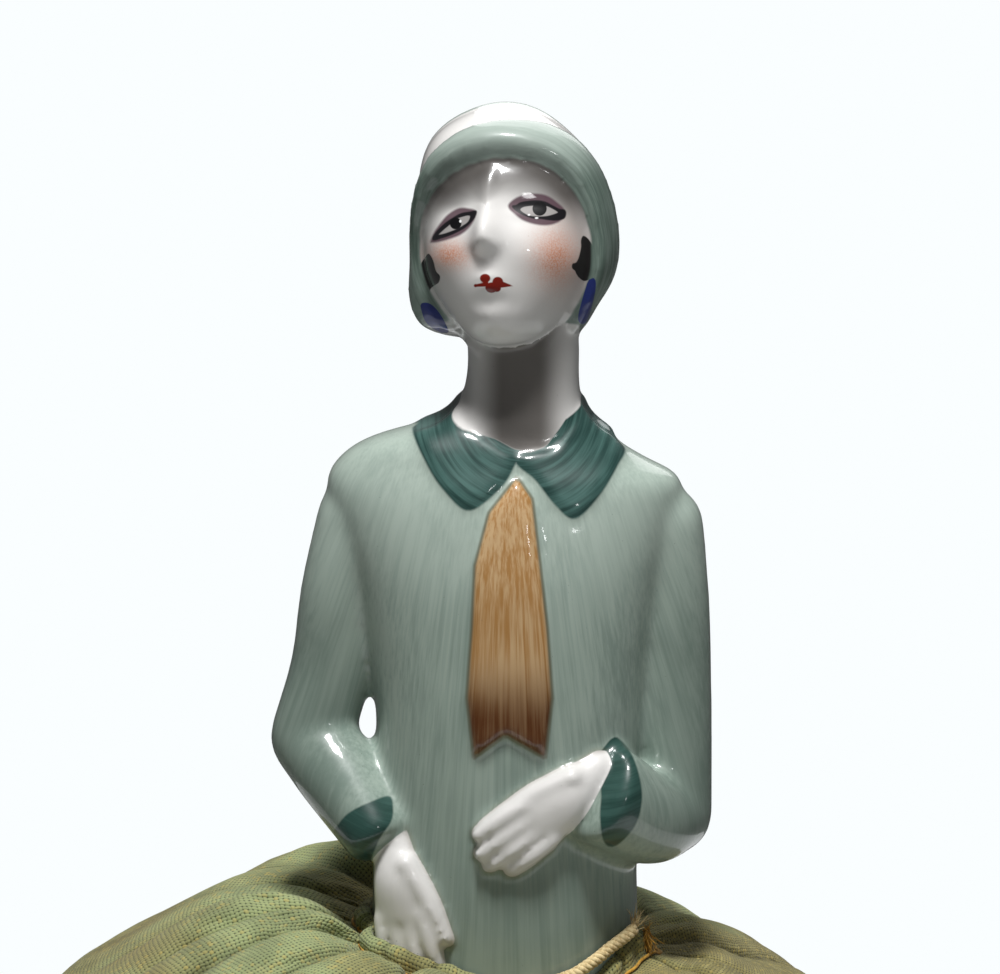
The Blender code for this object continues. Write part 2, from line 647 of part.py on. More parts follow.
def cover_path(angle):
    """The cloth's way from under the waist to the base, as (point, pleat depth) pairs."""
    low = WAIST_HEIGHT - FLANGE_DROP
    rim = neck_height(angle) + top_slope(waist_point(angle, 0) - Vector((DOLL_OFFSET, 0, 0)), 1)
    close = CLEARANCE
    path = [
        (tube_point(angle, FLARE + close, low, 0), 0),
        (tube_point(angle, FLARE + close, low + FLANGE_DROP * 0.27, 0), 0),
        (tube_point(angle, close + 0.1 * MM, low + FLANGE_DROP * 0.48, HAND_ROOM), 0),
        (tube_point(angle, close, rim, HAND_ROOM), 0),
        (tube_point(angle, close + 0.35 * MM, rim + FRILL_HEIGHT * 0.8, HAND_ROOM), 0.15 * MM),
        (tube_point(angle, NECK_GAP * 0.55, rim + FRILL_HEIGHT + 0.3 * MM, HAND_ROOM), 0.5 * MM),
        (tube_point(angle, NECK_GAP, rim + FRILL_HEIGHT * 0.8, HAND_ROOM), 0.3 * MM),
    ]
    for share in (0, 0.06, 0.14, 0.25, 0.38, 0.54, 0.71, 0.86, 0.96, 1.0):
        depth = PLEAT_DEPTH * (0.25 + 0.75 * smooth_step(0, 0.2, share))
        path.append((top_point(angle, share), depth * (1 - smooth_step(0.3, 1.0, share))))
    for turn in np.radians([24, 50, 74, 90]):
        path.append((side_point(angle, turn), 0))
    hem = outer_point(angle, (BASE_WIDTH / 2 - BASE_HEM) / (CUSHION_WIDTH / 2))
    hem.z = HEM_LEVEL
    path.append((hem, 0))
    return path


def cover_rings(columns):
    """Both faces of the cover: the smooth surface, moved along its own normal."""
    angles = np.arange(columns) * 2 * math.pi / columns
    paths = [cover_path(angle) for angle in angles]
    smooth = np.array([[point for point, _ in path] for path in paths])
    depths = np.array([[pleat(angle, depth) for _, depth in path]
                       for angle, path in zip(angles, paths)])
    along = np.gradient(smooth, axis=1)
    around = np.roll(smooth, -1, axis=0) - np.roll(smooth, 1, axis=0)
    normals = np.cross(along, around)
    normals /= np.linalg.norm(normals, axis=2)[:, :, None]
    outer = smooth + normals * depths[:, :, None]
    inner = outer - normals * CLOTH
    rings = [outer[:, i] for i in range(outer.shape[1])]
    rings += [inner[:, i] for i in range(inner.shape[1])][::-1]
    return rings


def sew_angles():
    return [math.pi / 4 + 2 * math.pi * i / SEW_HOLES for i in range(SEW_HOLES)]


def drill_mesh(angle):
    """A bore through the flange and the cloth round it, for one stitch."""
    inner = waist_point(angle, FLARE - PORCELAIN_WALL - MM)
    outer = waist_point(angle, FLARE + CLEARANCE + CLOTH + MM)
    middle = (inner + outer) / 2
    middle.z = SEW_HEIGHT
    aim = (outer - inner).normalized().to_track_quat("Z", "Y").to_matrix().to_4x4()
    shape = bmesh.new()
    bmesh.ops.create_cone(shape, cap_ends=True, segments=12, radius1=SEW_HOLE / 2,
                          radius2=SEW_HOLE / 2, depth=(outer - inner).length,
                          matrix=Matrix.Translation(middle) @ aim)
    mesh = bpy.data.meshes.new("drill")
    shape.to_mesh(mesh)
    shape.free()
    return mesh


def hollow_mesh():
    """The hollow that slip casting leaves, open at the flange and closed at the neck."""
    rows = [row for row in body_stations() if row[0] < HEAD_CENTRE[2] - 4 * MM]
    rings = [body_ring(row, 24, PORCELAIN_WALL) for row in rows]
    rings.insert(0, [point - Vector((0, 0, MM)) for point in rings[0]])
    mesh = mesh_of_rings("hollow", rings)
    mesh.transform(Matrix.Translation((DOLL_OFFSET, 0, WAIST_HEIGHT)))
    return mesh


def head_hollow_mesh():
    """The hollow of the head, which opens into the neck."""
    shape = bmesh.new()
    bmesh.ops.create_icosphere(shape, subdivisions=2, radius=1.0)
    mesh = bpy.data.meshes.new("head_hollow")
    shape.to_mesh(mesh)
    shape.free()
    half = FACE_WIDTH / 2 - PORCELAIN_WALL
    mesh.transform(Matrix.Diagonal((half, half, FACE_HEIGHT * 0.42 - PORCELAIN_WALL, 1)))
    mesh.transform(Matrix.Translation((DOLL_OFFSET, 0, WAIST_HEIGHT)) @ head_matrix())
    return mesh


def half_doll(look):
    doll = sculpted_figure()
    doll.data.transform(Matrix.Translation((DOLL_OFFSET, 0, WAIST_HEIGHT)))
    thin = doll.modifiers.new("fewer_faces", "DECIMATE")
    thin.ratio = SCULPT_SHARE
    apply_modifiers(doll)
    cut(doll, "hollow", hollow_mesh())
    cut(doll, "head_hollow", head_hollow_mesh())
    for angle in sew_angles():
        cut(doll, "sew_hole", drill_mesh(angle))
    doll.data.materials.clear()
    doll.data.materials.append(look)
    doll.data.shade_smooth()
    return doll


def cushion_cover(look):
    mesh = mesh_of_rings("cushion_cover", cover_rings(PLEATS * 4), closed=True)
    cover = add_object("cushion_cover", mesh, look)
    for angle in sew_angles():
        cut(cover, "sew_hole", drill_mesh(angle))
    return cover


def cushion_filling(look):
    """The stuffing: it fills the cover, leaves a pit for the sewn flange and rises inside the
    doll."""
    columns = 48
    angles = np.arange(columns) * 2 * math.pi / columns
    inset = CLOTH + CLEARANCE
    floor = WAIST_HEIGHT - FLANGE_DROP - SEW_THREAD - 3 * CLEARANCE
    boss = -(PORCELAIN_WALL + SEW_THREAD + 2 * CLEARANCE)
    boss_top = WAIST_HEIGHT + STUFFING_IN_DOLL
    levels = [
        lambda a: waist_point(a, boss - 6 * MM) + Vector((0, 0, boss_top)),
        lambda a: waist_point(a, boss - 1.5 * MM) + Vector((0, 0, boss_top - 1.5 * MM)),
        lambda a: waist_point(a, boss) + Vector((0, 0, boss_top - 6 * MM)),
        lambda a: waist_point(a, boss) + Vector((0, 0, floor)),
        lambda a: waist_point(a, PIT_WALL) + Vector((0, 0, floor)),
    ]
    rings = [[level(angle) for angle in angles] for level in levels]
    deep = inset + 0.7 * PLEAT_DEPTH * 1.5
    for share in (0.13, 0.25, 0.38, 0.54, 0.71, 0.86, 0.96, 1.0):
        rings.append([sunk(top_point, angle, share, deep) for angle in angles])
    for turn in np.radians([24, 50]):
        rings.append([sunk(side_point, angle, turn, inset * 1.15) for angle in angles])
    foot = BASE_WIDTH / CUSHION_WIDTH
    for height in (FILLING_BOTTOM + 2 * MM, FILLING_BOTTOM):
        ring = [outer_point(angle, foot) * (1 - 1.2 * inset / (BASE_WIDTH / 2)) for angle in angles]
        rings.append([point + Vector((0, 0, height)) for point in ring])
    return add_object("cushion_filling", mesh_of_rings("cushion_filling", rings), look)


def sunk(surface, angle, where, depth):
    """A point of one of the cushion's smooth surfaces, sunk below it."""
    step = 0.01
    point = surface(angle, where)
    along = surface(angle, where + step) - surface(angle, where - step)
    around = surface(angle + step, where) - surface(angle - step, where)
    return point - along.cross(around).normalized() * depth


def disc(name, radius_x, radius_y, low, high, look, segments=64):
    shape = bmesh.new()
    bmesh.ops.create_cone(shape, cap_ends=True, segments=segments, radius1=radius_x,
                          radius2=radius_x, depth=high - low)
    bmesh.ops.scale(shape, vec=(1, radius_y / radius_x, 1), verts=shape.verts)
    bmesh.ops.translate(shape, vec=(0, 0, (low + high) / 2), verts=shape.verts)
    mesh = bpy.data.meshes.new(name)
    shape.to_mesh(mesh)
    shape.free()
    return add_object(name, mesh, look)


def base_pieces(card_look, cloth_look):
    stretch = CUSHION_DEPTH / CUSHION_WIDTH
    card = BASE_WIDTH / 2 - CLOTH - 2 * CLEARANCE
    disc("base_card", card, card * stretch, CARD_BOTTOM, CARD_BOTTOM + CARD_THICKNESS, card_look)
    disc("base_cloth", BASE_WIDTH / 2, BASE_WIDTH / 2 * stretch, 0, BASE_CLOTH, cloth_look)


def rim_height(angle):
    middle = Vector((DOLL_OFFSET, 0, 0))
    return neck_height(angle) + top_slope(waist_point(angle, 0) - middle, 1)


def waist_cord(look):
    """The twisted cord that shows in front, lying on the frill, with its frayed end lifted."""
    radius = TIE_CORD / 2
    points, radii = [], []
    for share in np.arange(25) / 24:
        angle = CORD_START + (CORD_END - CORD_START) * share
        offset = CLEARANCE + radius + 0.2 * MM + 0.5 * MM * smooth_step(0.75, 1, share)
        point = waist_point(angle, offset, HAND_ROOM)
        lift = CORD_LIFT * smooth_step(0.45, 1, share)
        point.z = rim_height(angle) + FRILL_HEIGHT + 1.1 * MM + radius + CLEARANCE + lift
        points.append(point)
        radii.append(radius * (1 + 0.35 * smooth_step(0.9, 1.0, share)))
    return add_object("waist_cord", tube("waist_cord", points, radii, 10), look)


def gathering_thread(look):
    """The ochre thread that draws the neck in, with its tuft on the right."""
    radius = GATHER_THREAD / 2
    count = 48
    points = []
    for i in range(count):
        angle = 2 * math.pi * i / count
        point = waist_point(angle, NECK_GAP + radius + CLEARANCE + 0.3 * MM, HAND_ROOM)
        point.z = rim_height(angle) + GATHER_RISE
        points.append(point)
    mesh = tube("gathering_thread", points, [radius] * count, 6, closed=True)
    return add_object("gathering_thread", mesh, look)


def stitches(look):
    """Thread through each sew hole, round the rim of the flange and the edge of the cloth."""
    radius = SEW_THREAD / 2
    top = SEW_HEIGHT
    bottom = WAIST_HEIGHT - FLANGE_DROP - CLEARANCE - radius
    inside = FLARE - PORCELAIN_WALL - CLEARANCE - radius
    outside = FLARE + CLEARANCE + CLOTH + CLEARANCE + radius
    for i, angle in enumerate(sew_angles()):
        near, far = waist_point(angle, inside), waist_point(angle, outside)
        points = []
        for turn in np.arange(20) * 2 * math.pi / 20:
            c, s = math.cos(turn), math.sin(turn)
            across = 0.5 + 0.5 * math.copysign(abs(c) ** 0.45, c)
            point = near.lerp(far, across)
            point.z = (top + bottom) / 2 + (top - bottom) / 2 * math.copysign(abs(s) ** 0.45, s)
            points.append(point)
        name = f"stitch_{i + 1}"
        add_object(name, tube(name, points, [radius] * len(points), 6, closed=True), look)


def main():
    clear_scene()
    porcelain = material("glazed_porcelain", (0.50, 0.58, 0.54), 0.12)
    linen = material("green_linen", (0.30, 0.31, 0.17), 0.9)
    wadding = material("cotton_wadding", (0.80, 0.77, 0.70), 1.0)
    card = material("grey_card", (0.45, 0.42, 0.37), 0.9)
    base_linen = material("base_linen", (0.24, 0.25, 0.15), 0.9)
    cord = material("beige_cord", (0.62, 0.52, 0.36), 0.9)
    ochre = material("ochre_thread", (0.55, 0.33, 0.08), 0.85)
    thread = material("sewing_thread", (0.60, 0.58, 0.45), 0.8)
    half_doll(porcelain)
    cushion_cover(linen)
    cushion_filling(wadding)
    base_pieces(card, base_linen)
    waist_cord(cord)
    gathering_thread(ochre)
    stitches(thread)


main()
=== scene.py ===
"""Looks of the pincushion doll: the glazed and painted porcelain figure, and the gathered linen
cushion that it is sewn into. Everything is in metres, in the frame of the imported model."""

import math

import bmesh
import bpy
import numpy as np
from mathutils import Euler, Matrix, Vector
from mathutils.bvhtree import BVHTree


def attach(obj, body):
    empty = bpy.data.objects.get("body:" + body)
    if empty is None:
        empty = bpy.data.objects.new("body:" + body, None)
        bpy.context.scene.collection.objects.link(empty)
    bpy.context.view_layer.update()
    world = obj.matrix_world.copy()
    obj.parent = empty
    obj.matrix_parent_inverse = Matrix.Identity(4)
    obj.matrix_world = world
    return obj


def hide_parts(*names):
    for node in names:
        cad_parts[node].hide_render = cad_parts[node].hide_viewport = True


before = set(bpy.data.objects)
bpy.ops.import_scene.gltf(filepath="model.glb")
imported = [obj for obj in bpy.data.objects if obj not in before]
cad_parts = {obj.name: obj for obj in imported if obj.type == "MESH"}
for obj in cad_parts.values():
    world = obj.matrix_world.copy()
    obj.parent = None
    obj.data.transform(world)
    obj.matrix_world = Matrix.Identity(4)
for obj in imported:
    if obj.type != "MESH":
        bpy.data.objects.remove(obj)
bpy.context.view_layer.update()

MM = 0.001

# The photograph: its size, and the point in it where the middle of the waist line falls
PHOTO_WIDTH = 1000
PHOTO_HEIGHT = 974
PIXEL = 0.117 * MM
WAIST_PIXEL = (505, 930)
CAMERA_TILT = math.radians(10)
CAMERA_DISTANCE = 600 * MM

# The doll; heights are above the waist line
DOLL_OFFSET = 7 * MM
WAIST_HEIGHT = 52.2 * MM
WAIST_WIDTH = 31.6 * MM
WAIST_DEPTH = 23.2 * MM
SHOULDER_WIDTH = 41.6 * MM
SHOULDER_HEIGHT = 53.8 * MM
SHOULDER_DEPTH = 18.0 * MM
NECK_WIDTH = 13.1 * MM
NECK_HEIGHT = 66 * MM
NECK_LEAN = 2.1 * MM
SLEEVE = 9.4 * MM
CUFF_WIDTH = 12.4 * MM
HAND_LENGTH = 16 * MM
HAND_WIDTH = 7.0 * MM
FLANGE_DROP = 16 * MM
FLANGE_WIDTH = 34.6 * MM
BODY_FULLNESS = 2.25
HEAD_CENTRE = (0.8 * MM, 0.6 * MM, 82.1 * MM)
HEAD_TILT = math.radians(25)
HEAD_ROLL = math.radians(5)
HEAD_TURN = math.radians(15)
FACE_WIDTH = 20.4 * MM
FACE_HEIGHT = 30.5 * MM
BRIM_WIDTH = 6.8 * MM
HAT_BAND = 5.4 * MM
HAT_THICKNESS = 0.9 * MM
COLLAR_RISE = 0.6 * MM
COLLAR_STAND = 1.5
TIE_RISE = 0.8 * MM
SCULPT_VOXEL = 0.47 * MM
BODY_SOFTENING = 22
JOIN_SOFTENING = 5
HEAD_FINENESS = 6
JAW_LINE_RISE = 0.26 * MM
JAW_LINE_WIDTH = 2.2

# The cushion; its cord, its right side and the front of its neck differ a little from the CAD model
CUSHION_WIDTH = 115 * MM
CUSHION_DEPTH = 112 * MM
WIDEST_HEIGHT = 22 * MM
BASE_WIDTH = 82 * MM
CREST_RISE = 1.6 * MM
TOP_SINK = 1.2 * MM
TOP_FULLNESS = 1.75
SIDE_SLOPE = 0.11
FRONT_SLOPE = 0.11
NECK_SINK = 2.0 * MM
NECK_FRONT_SINK = 3.2 * MM
RIGHT_LIFT = 4.6 * MM
RIGHT_ANGLE = math.radians(335)
RIGHT_SPREAD = math.radians(24)
RIGHT_SAG = 3.0 * MM
SAG_ANGLE = math.radians(25)
DIP_ANGLE = math.radians(290)
FOLD_RISE = 2.4 * MM
FOLD_ANGLE = math.radians(218)
FOLD_SPREAD = math.radians(30)
LEFT_DENT = 2.6 * MM
CLOTH = 0.8 * MM
CLEARANCE = 0.35 * MM
FRILL_HEIGHT = 1.8 * MM
HAND_ROOM = 3.0 * MM
HAND_ANGLE = math.radians(231)
HAND_SPREAD = math.radians(24)
BASE_HEM = 9 * MM
BASE_CLOTH = 1.0 * MM
TIE_CORD = 1.45 * MM
# The cord's height over the waist line, in millimetres, against the angle round the waist
CORD_RISE = ([247, 254, 262, 272, 284, 296, 308, 318, 327],
             [-6.0, -3.4, -4.0, -4.5, -4.0, -3.0, -1.3, 0.2, 1.5])
GATHER_THREAD = 0.6 * MM
TUFT_ANGLE = 338
TUFT_RISE = 0.6 * MM
TUFT_AWAY = 1.9 * MM
THREAD_ROW = 28
THREAD_LIFT = 0.3 * MM
FLARE = (FLANGE_WIDTH - WAIST_WIDTH) / 2
NECK_GAP = 2 * CLEARANCE + 2 * CLOTH
HEM_LEVEL = BASE_CLOTH + CLEARANCE

# The gathers: where each fold starts round the neck, in degrees, and how deep they are
FOLD_STARTS = [3, 24, 46, 70, 91, 114, 136, 157, 178, 196, 211, 228, 246, 263, 284, 303, 321, 340]
PLEAT_DEPTH = 2.5 * MM
PUCKER = 0.28 * MM
FILLING_SINK = 3.4 * MM
HUG_GAP = 0.16 * MM
HUG_REACH = 3.4 * MM
PLEAT_SEED = 11
CUSHION_COLUMNS = 312
FINE_STEPS = 2
WEAVE_PITCH = 0.48

# The cloth simulation
CLOTH_SCALE = 10.0
CLOTH_FRAMES = 20
MOST_PUFF = 1.2 * MM
CLOTH_SETTINGS = {
    "quality": 6, "mass": 0.02, "tension_stiffness": 8, "compression_stiffness": 8, "shear_stiffness": 4,
    "bending_stiffness": 0.2, "use_pressure": True, "uniform_pressure_force": 9.0, "time_scale": 1.0,
}

# Painted shapes, as outlines in the photograph's pixels
CUFF_LAP = [(590, 731), (603, 730), (617, 737), (630, 751), (639, 774), (642, 800), (635, 826), (616, 846),
            (604, 842), (600, 818), (601, 792), (597, 765), (590, 746)]
CUFF_HIP = [(331, 838), (340, 822), (350, 812), (368, 803), (389, 796), (393, 808), (391, 822), (379, 840),
            (364, 874), (350, 866), (338, 852)]
COLLAR_LEFT = [(462, 394), (463, 428), (490, 442), (515, 456), (512, 471), (499, 490), (469, 511),
               (445, 492), (427, 465), (412, 428), (424, 412)]
COLLAR_RIGHT = [(515, 456), (552, 450), (575, 422), (582, 395), (608, 414), (625, 446), (618, 465),
                (600, 495), (575, 519), (555, 505), (535, 480), (518, 466)]
TIE = [(517, 477), (489, 513), (475, 566), (472, 629), (467, 698), (474, 758), (505, 735),
       (545, 758), (552, 698), (547, 629), (540, 566), (532, 499)]
LIP_SPOTS = [(485.1, 278.3, 5.3, 4.5, 0), (497.8, 281.8, 5.4, 5.0, 0), (491.6, 287.6, 6.4, 5.3, 0),
             (496.8, 288.2, 4.2, 3.8, 0), (475.6, 285.6, 1.9, 1.7, 0)]
LIP_TIPS = [[(475, 284.4), (488, 281.5), (490, 286.5), (476, 287)],
            [(497, 279), (504.5, 282.2), (513.8, 286), (503, 287.6), (495, 288)]]
CURL_RIGHT = [(583.7, 235.7), (590, 241), (594.5, 252.5), (595, 270), (590, 278.7), (583.7, 281),
              (577.5, 276), (575, 271), (572, 268), (572.5, 263.7), (576, 262.5), (578.7, 257.5),
              (581, 247.5), (581, 240)]
CURL_LEFT = [(428.7, 253.7), (433, 260), (436, 271), (440, 276), (438.7, 282.5), (433.7, 286),
             (430, 290), (428.7, 298.7), (425, 300), (420.5, 290), (418.7, 277.5), (420.5, 265),
             (425, 257.5)]
EARRING_RIGHT = [(588.7, 280), (595, 278.7), (595.5, 290), (591, 310), (586, 322.5),
                 (581, 323.7), (578, 318.7), (580, 307.5), (585, 290)]
EARRING_LEFT = [(421, 303.7), (430, 303.7), (440, 313.7), (448.7, 331), (443.7, 333), (435, 330),
                (426, 322.5), (422, 312.5)]
LIDS_LEFT = [(476.3, 211.2), (469.7, 212), (460.8, 213.7), (451.9, 218.7), (444.7, 223.8),
             (437.6, 230.7), (433, 237), (434, 240), (441.2, 238), (449.2, 235.4), (457.2, 231.8),
             (464.4, 227.8), (470, 222.9), (474.5, 217.4)]
WHITE_LEFT = [(437.8, 235), (442.9, 229.8), (449.2, 224.5), (455, 219), (461.3, 216.6), (468, 215),
              (470.6, 216.4), (468.4, 222), (462.6, 226.3), (456.5, 229.6), (450, 232.2), (443, 234.5)]
LIDS_RIGHT = [(512.4, 206.2), (516.4, 205.2), (520.7, 202.6), (528.6, 201.2), (537.1, 200.7),
              (545, 202), (552.1, 205.5), (559.3, 209.2), (564, 209.8), (565.8, 212.4), (565, 217),
              (562, 219.2), (555, 220.2), (547.5, 219.6), (541, 218.6), (534, 218.2), (526.4, 216),
              (520, 213), (515, 209.6)]
WHITE_RIGHT = [(519.8, 210), (523.2, 206.6), (532.1, 205.2), (540, 205), (546.4, 205.6), (551, 207.4),
               (557.2, 211), (558, 213), (552.1, 215.3), (546.5, 216.6), (539.5, 217), (532, 216.6),
               (526, 214.8)]
IRIS_LEFT = (455.6, 223.4, 5.7)
IRIS_RIGHT = (539.6, 208.6, 7.0)
GLINTS = [(529, 214.8, 1.5, 1.0, 0), (536.6, 218, 1.9, 1.0, 0), (460.4, 221.2, 1.3, 1.6, 0)]
SHADE_LEFT = [(430.5, 241.5), (434, 232.5), (439.4, 224.5), (446.5, 215.8), (454.6, 210), (460.8, 207.8),
              (468, 208.4), (475.5, 210.6), (475, 218), (469.7, 227), (461, 234.4), (450.1, 238.8),
              (438.5, 242), (432.2, 242.6)]
SHADE_RIGHT = [(508.4, 204.8), (512.1, 200.6), (517.9, 197), (526.4, 194.2), (535, 193.6), (543.6, 194.6),
               (550.7, 197.6), (557.9, 203), (563.6, 208.6), (564.5, 215), (560.7, 220.6), (555, 223.6),
               (547.9, 225.2), (539.3, 225), (530, 223), (521.4, 219.4), (514.3, 213.8), (509.3, 209)]
JAW_LINES = [[(449, 318), (464, 338), (479, 353)], [(569, 312), (558, 331), (544, 348)]]
ROUGE_LEFT = (449, 255, 21, 14)
ROUGE_RIGHT = (556, 258, 23, 29)

# The hat's edge: the angle from the front of the face, against the angle round it
HAT_OPENING = ([-180, -150, -128, -105, -93, -75, -57, -38, -18, -2, 15, 31, 50, 66, 86, 99, 125, 150, 180],
               [104, 96, 86, 76, 68, 50, 39, 32.5, 30, 30, 32, 36, 45, 55, 68, 76, 88, 98, 104])
# The brim's width against the same angle, as a share of its full width
BRIM_SHARE = ([-180, -130, -102, -84, -58, -29, -6, 15, 28, 40, 60, 140, 180],
              [0.8, 0.8, 0.72, 0.36, 0.36, 0.42, 0.58, 0.76, 0.92, 1.0, 1.0, 0.95, 0.8])
BRIM_ROLL = 0.9

# The neckline: height above the waist against the angle round the neck, in degrees
NECKLINE = [(0, 63.4), (90, 63.8), (180, 63.6), (221, 60.3), (245, 59.3), (261, 58.2),
            (275, 57.8), (292, 58.4), (313, 61.3), (350, 63.2), (360, 63.4)]
COLLAR_EDGE = [(0, 58.6), (90, 57.8), (180, 60.0), (270, 57.0), (360, 58.6)]


def rgb(red, green, blue):
    """A colour given as it looks on screen, in the linear values that a shader takes."""
    def linear(value):
        value /= 255
        return value / 12.92 if value <= 0.04045 else ((value + 0.055) / 1.055) ** 2.4
    return (linear(red), linear(green), linear(blue), 1.0)


def smooth_step(low, high, value):
    t = np.clip((value - low) / (high - low), 0, 1)
    return t * t * (3 - 2 * t)


# Camera

def look_at(thing, place, target):
    thing.location = place
    thing.rotation_mode = "QUATERNION"
    thing.rotation_quaternion = (Vector(target) - Vector(place)).to_track_quat("-Z", "Y")


def make_camera():
    up = (WAIST_PIXEL[1] - PHOTO_HEIGHT / 2) * PIXEL / math.cos(CAMERA_TILT)
    across = (PHOTO_WIDTH / 2 - WAIST_PIXEL[0]) * PIXEL
    target = Vector((DOLL_OFFSET + across, 0, WAIST_HEIGHT + up))
    back = Vector((0, -math.cos(CAMERA_TILT), math.sin(CAMERA_TILT)))
    data = bpy.data.cameras.new("camera")
    data.sensor_width = 36
    data.lens = data.sensor_width * CAMERA_DISTANCE / (PHOTO_WIDTH * PIXEL)
    data.clip_start = 0.01
    camera = bpy.data.objects.new("camera", data)
    bpy.context.scene.collection.objects.link(camera)
    look_at(camera, target + back * CAMERA_DISTANCE, target)
    bpy.context.scene.camera = camera
    bpy.context.view_layer.update()
    return camera


def photo_places(points, camera):
    """Where points fall in the photograph, in pixels. Stored on the mesh once, for the paint."""
    matrix = np.array(camera.matrix_world.inverted())
    seen = points @ matrix[:3, :3].T + matrix[:3, 3]
    scale = camera.data.lens / camera.data.sensor_width * PHOTO_WIDTH / -seen[:, 2]
    return np.stack([PHOTO_WIDTH / 2 + seen[:, 0] * scale,
                     PHOTO_HEIGHT / 2 - seen[:, 1] * scale], axis=1)


# Meshes

def smooth_grid(grid, per_span, closed):
    """A finer grid of points, read from smooth curves through its first axis."""
    if closed:
        padded = np.concatenate([grid[-1:], grid, grid[:2]])
        spans = len(grid)
    else:
        padded = np.concatenate([2 * grid[:1] - grid[1:2], grid, 2 * grid[-1:] - grid[-2:-1]])
        spans = len(grid) - 1
    a, b, c, d = (padded[i : i + spans] for i in range(4))
    steps = []
    for t in np.arange(per_span) / per_span:
        bend = (2 * a - 5 * b + 4 * c - d) * t**2 + (3 * b - a - 3 * c + d) * t**3
        steps.append(0.5 * (2 * b + (c - a) * t + bend))
    fine = np.stack(steps, axis=1).reshape(spans * per_span, *grid.shape[1:])
    return fine if closed else np.concatenate([fine, grid[-1:]])


def mesh_of_rings(name, rings, closed=False, capped=True):
    """A mesh through rings of points. An open run of rings gets a cap at each end."""
    shape = bmesh.new()
    loops = [[shape.verts.new(point) for point in ring] for ring in rings]
    followers = loops[1:] + loops[:1] if closed else loops[1:]
    for first, second in zip(loops, followers):
        count = len(first)
        for i in range(count):
            j = (i + 1) % count
            shape.faces.new((first[i], first[j], second[j], second[i]))
    if capped and not closed:
        shape.faces.new(loops[0])
        shape.faces.new(loops[-1])
    bmesh.ops.recalc_face_normals(shape, faces=shape.faces)
    mesh = bpy.data.meshes.new(name)
    shape.to_mesh(mesh)
    shape.free()
    return mesh


def add_object(name, mesh, look=None):
    made = bpy.data.objects.new(name, mesh)
    bpy.context.scene.collection.objects.link(made)
    if look:
        mesh.materials.clear()
        mesh.materials.append(look)
    return made


def apply_modifiers(thing):
    graph = bpy.context.evaluated_depsgraph_get()
    mesh = bpy.data.meshes.new_from_object(thing.evaluated_get(graph))
    thing.modifiers.clear()
    thing.data = mesh
    return thing


def joined(name, meshes):
    shape = bmesh.new()
    for mesh in meshes:
        shape.from_mesh(mesh)
    mesh = bpy.data.meshes.new(name)
    shape.to_mesh(mesh)
    shape.free()
    return mesh


def coordinates(mesh):
    points = np.empty(len(mesh.vertices) * 3)
    mesh.vertices.foreach_get("co", points)
    return points.reshape(-1, 3)


def vertex_normals(mesh):
    normals = np.empty(len(mesh.vertices) * 3)
    mesh.vertices.foreach_get("normal", normals)
    return normals.reshape(-1, 3)


def move_vertices(mesh, points):
    mesh.vertices.foreach_set("co", points.ravel())
    mesh.update()


def store(mesh, name, values):
    """Keeps one number for each vertex under a name that a material can read."""
    attribute = mesh.attributes.new(name, "FLOAT", "POINT")
    attribute.data.foreach_set("value", np.asarray(values, np.float32))


# The figure

def limb_ring(row, tangent, wide_axis, sides, along, share):
    """One ring of a limb, moved along it and shrunk where it closes a rounded end."""
    thick = np.cross(tangent, wide_axis)
    thick /= np.linalg.norm(thick)
    wide = np.cross(thick, tangent)
    centre = row[:3] + tangent * along * min(row[3], row[4])
    turns = np.arange(sides) * 2 * math.pi / sides
    return [
        centre + wide * row[3] * share * math.cos(a) + thick * row[4] * share * math.sin(a)
        for a in turns
    ]


def limb(name, stations, wide_axis, sides=28, per_span=8, blunt=1.0):
    """A limb through stations of (x, y, z, half width, half thickness), with a round start and
    an end that is round at 1 and flatter below it."""
    rows = smooth_grid(np.array(stations, float), per_span, False)
    tangents = np.gradient(rows[:, :3], axis=0)
    tangents /= np.linalg.norm(tangents, axis=1)[:, None]
    steps = [(math.sin(a), math.cos(a)) for a in np.radians([80, 60, 40, 20])]
    rings = [limb_ring(rows[0], tangents[0], wide_axis, sides, -s, c) for s, c in steps]
    for row, tangent in zip(rows, tangents):
        rings.append(limb_ring(row, tangent, wide_axis, sides, 0, 1))
    for s, c in steps[::-1]:
        rings.append(limb_ring(rows[-1], tangents[-1], wide_axis, sides, s * blunt, c))
    return mesh_of_rings(name, rings)


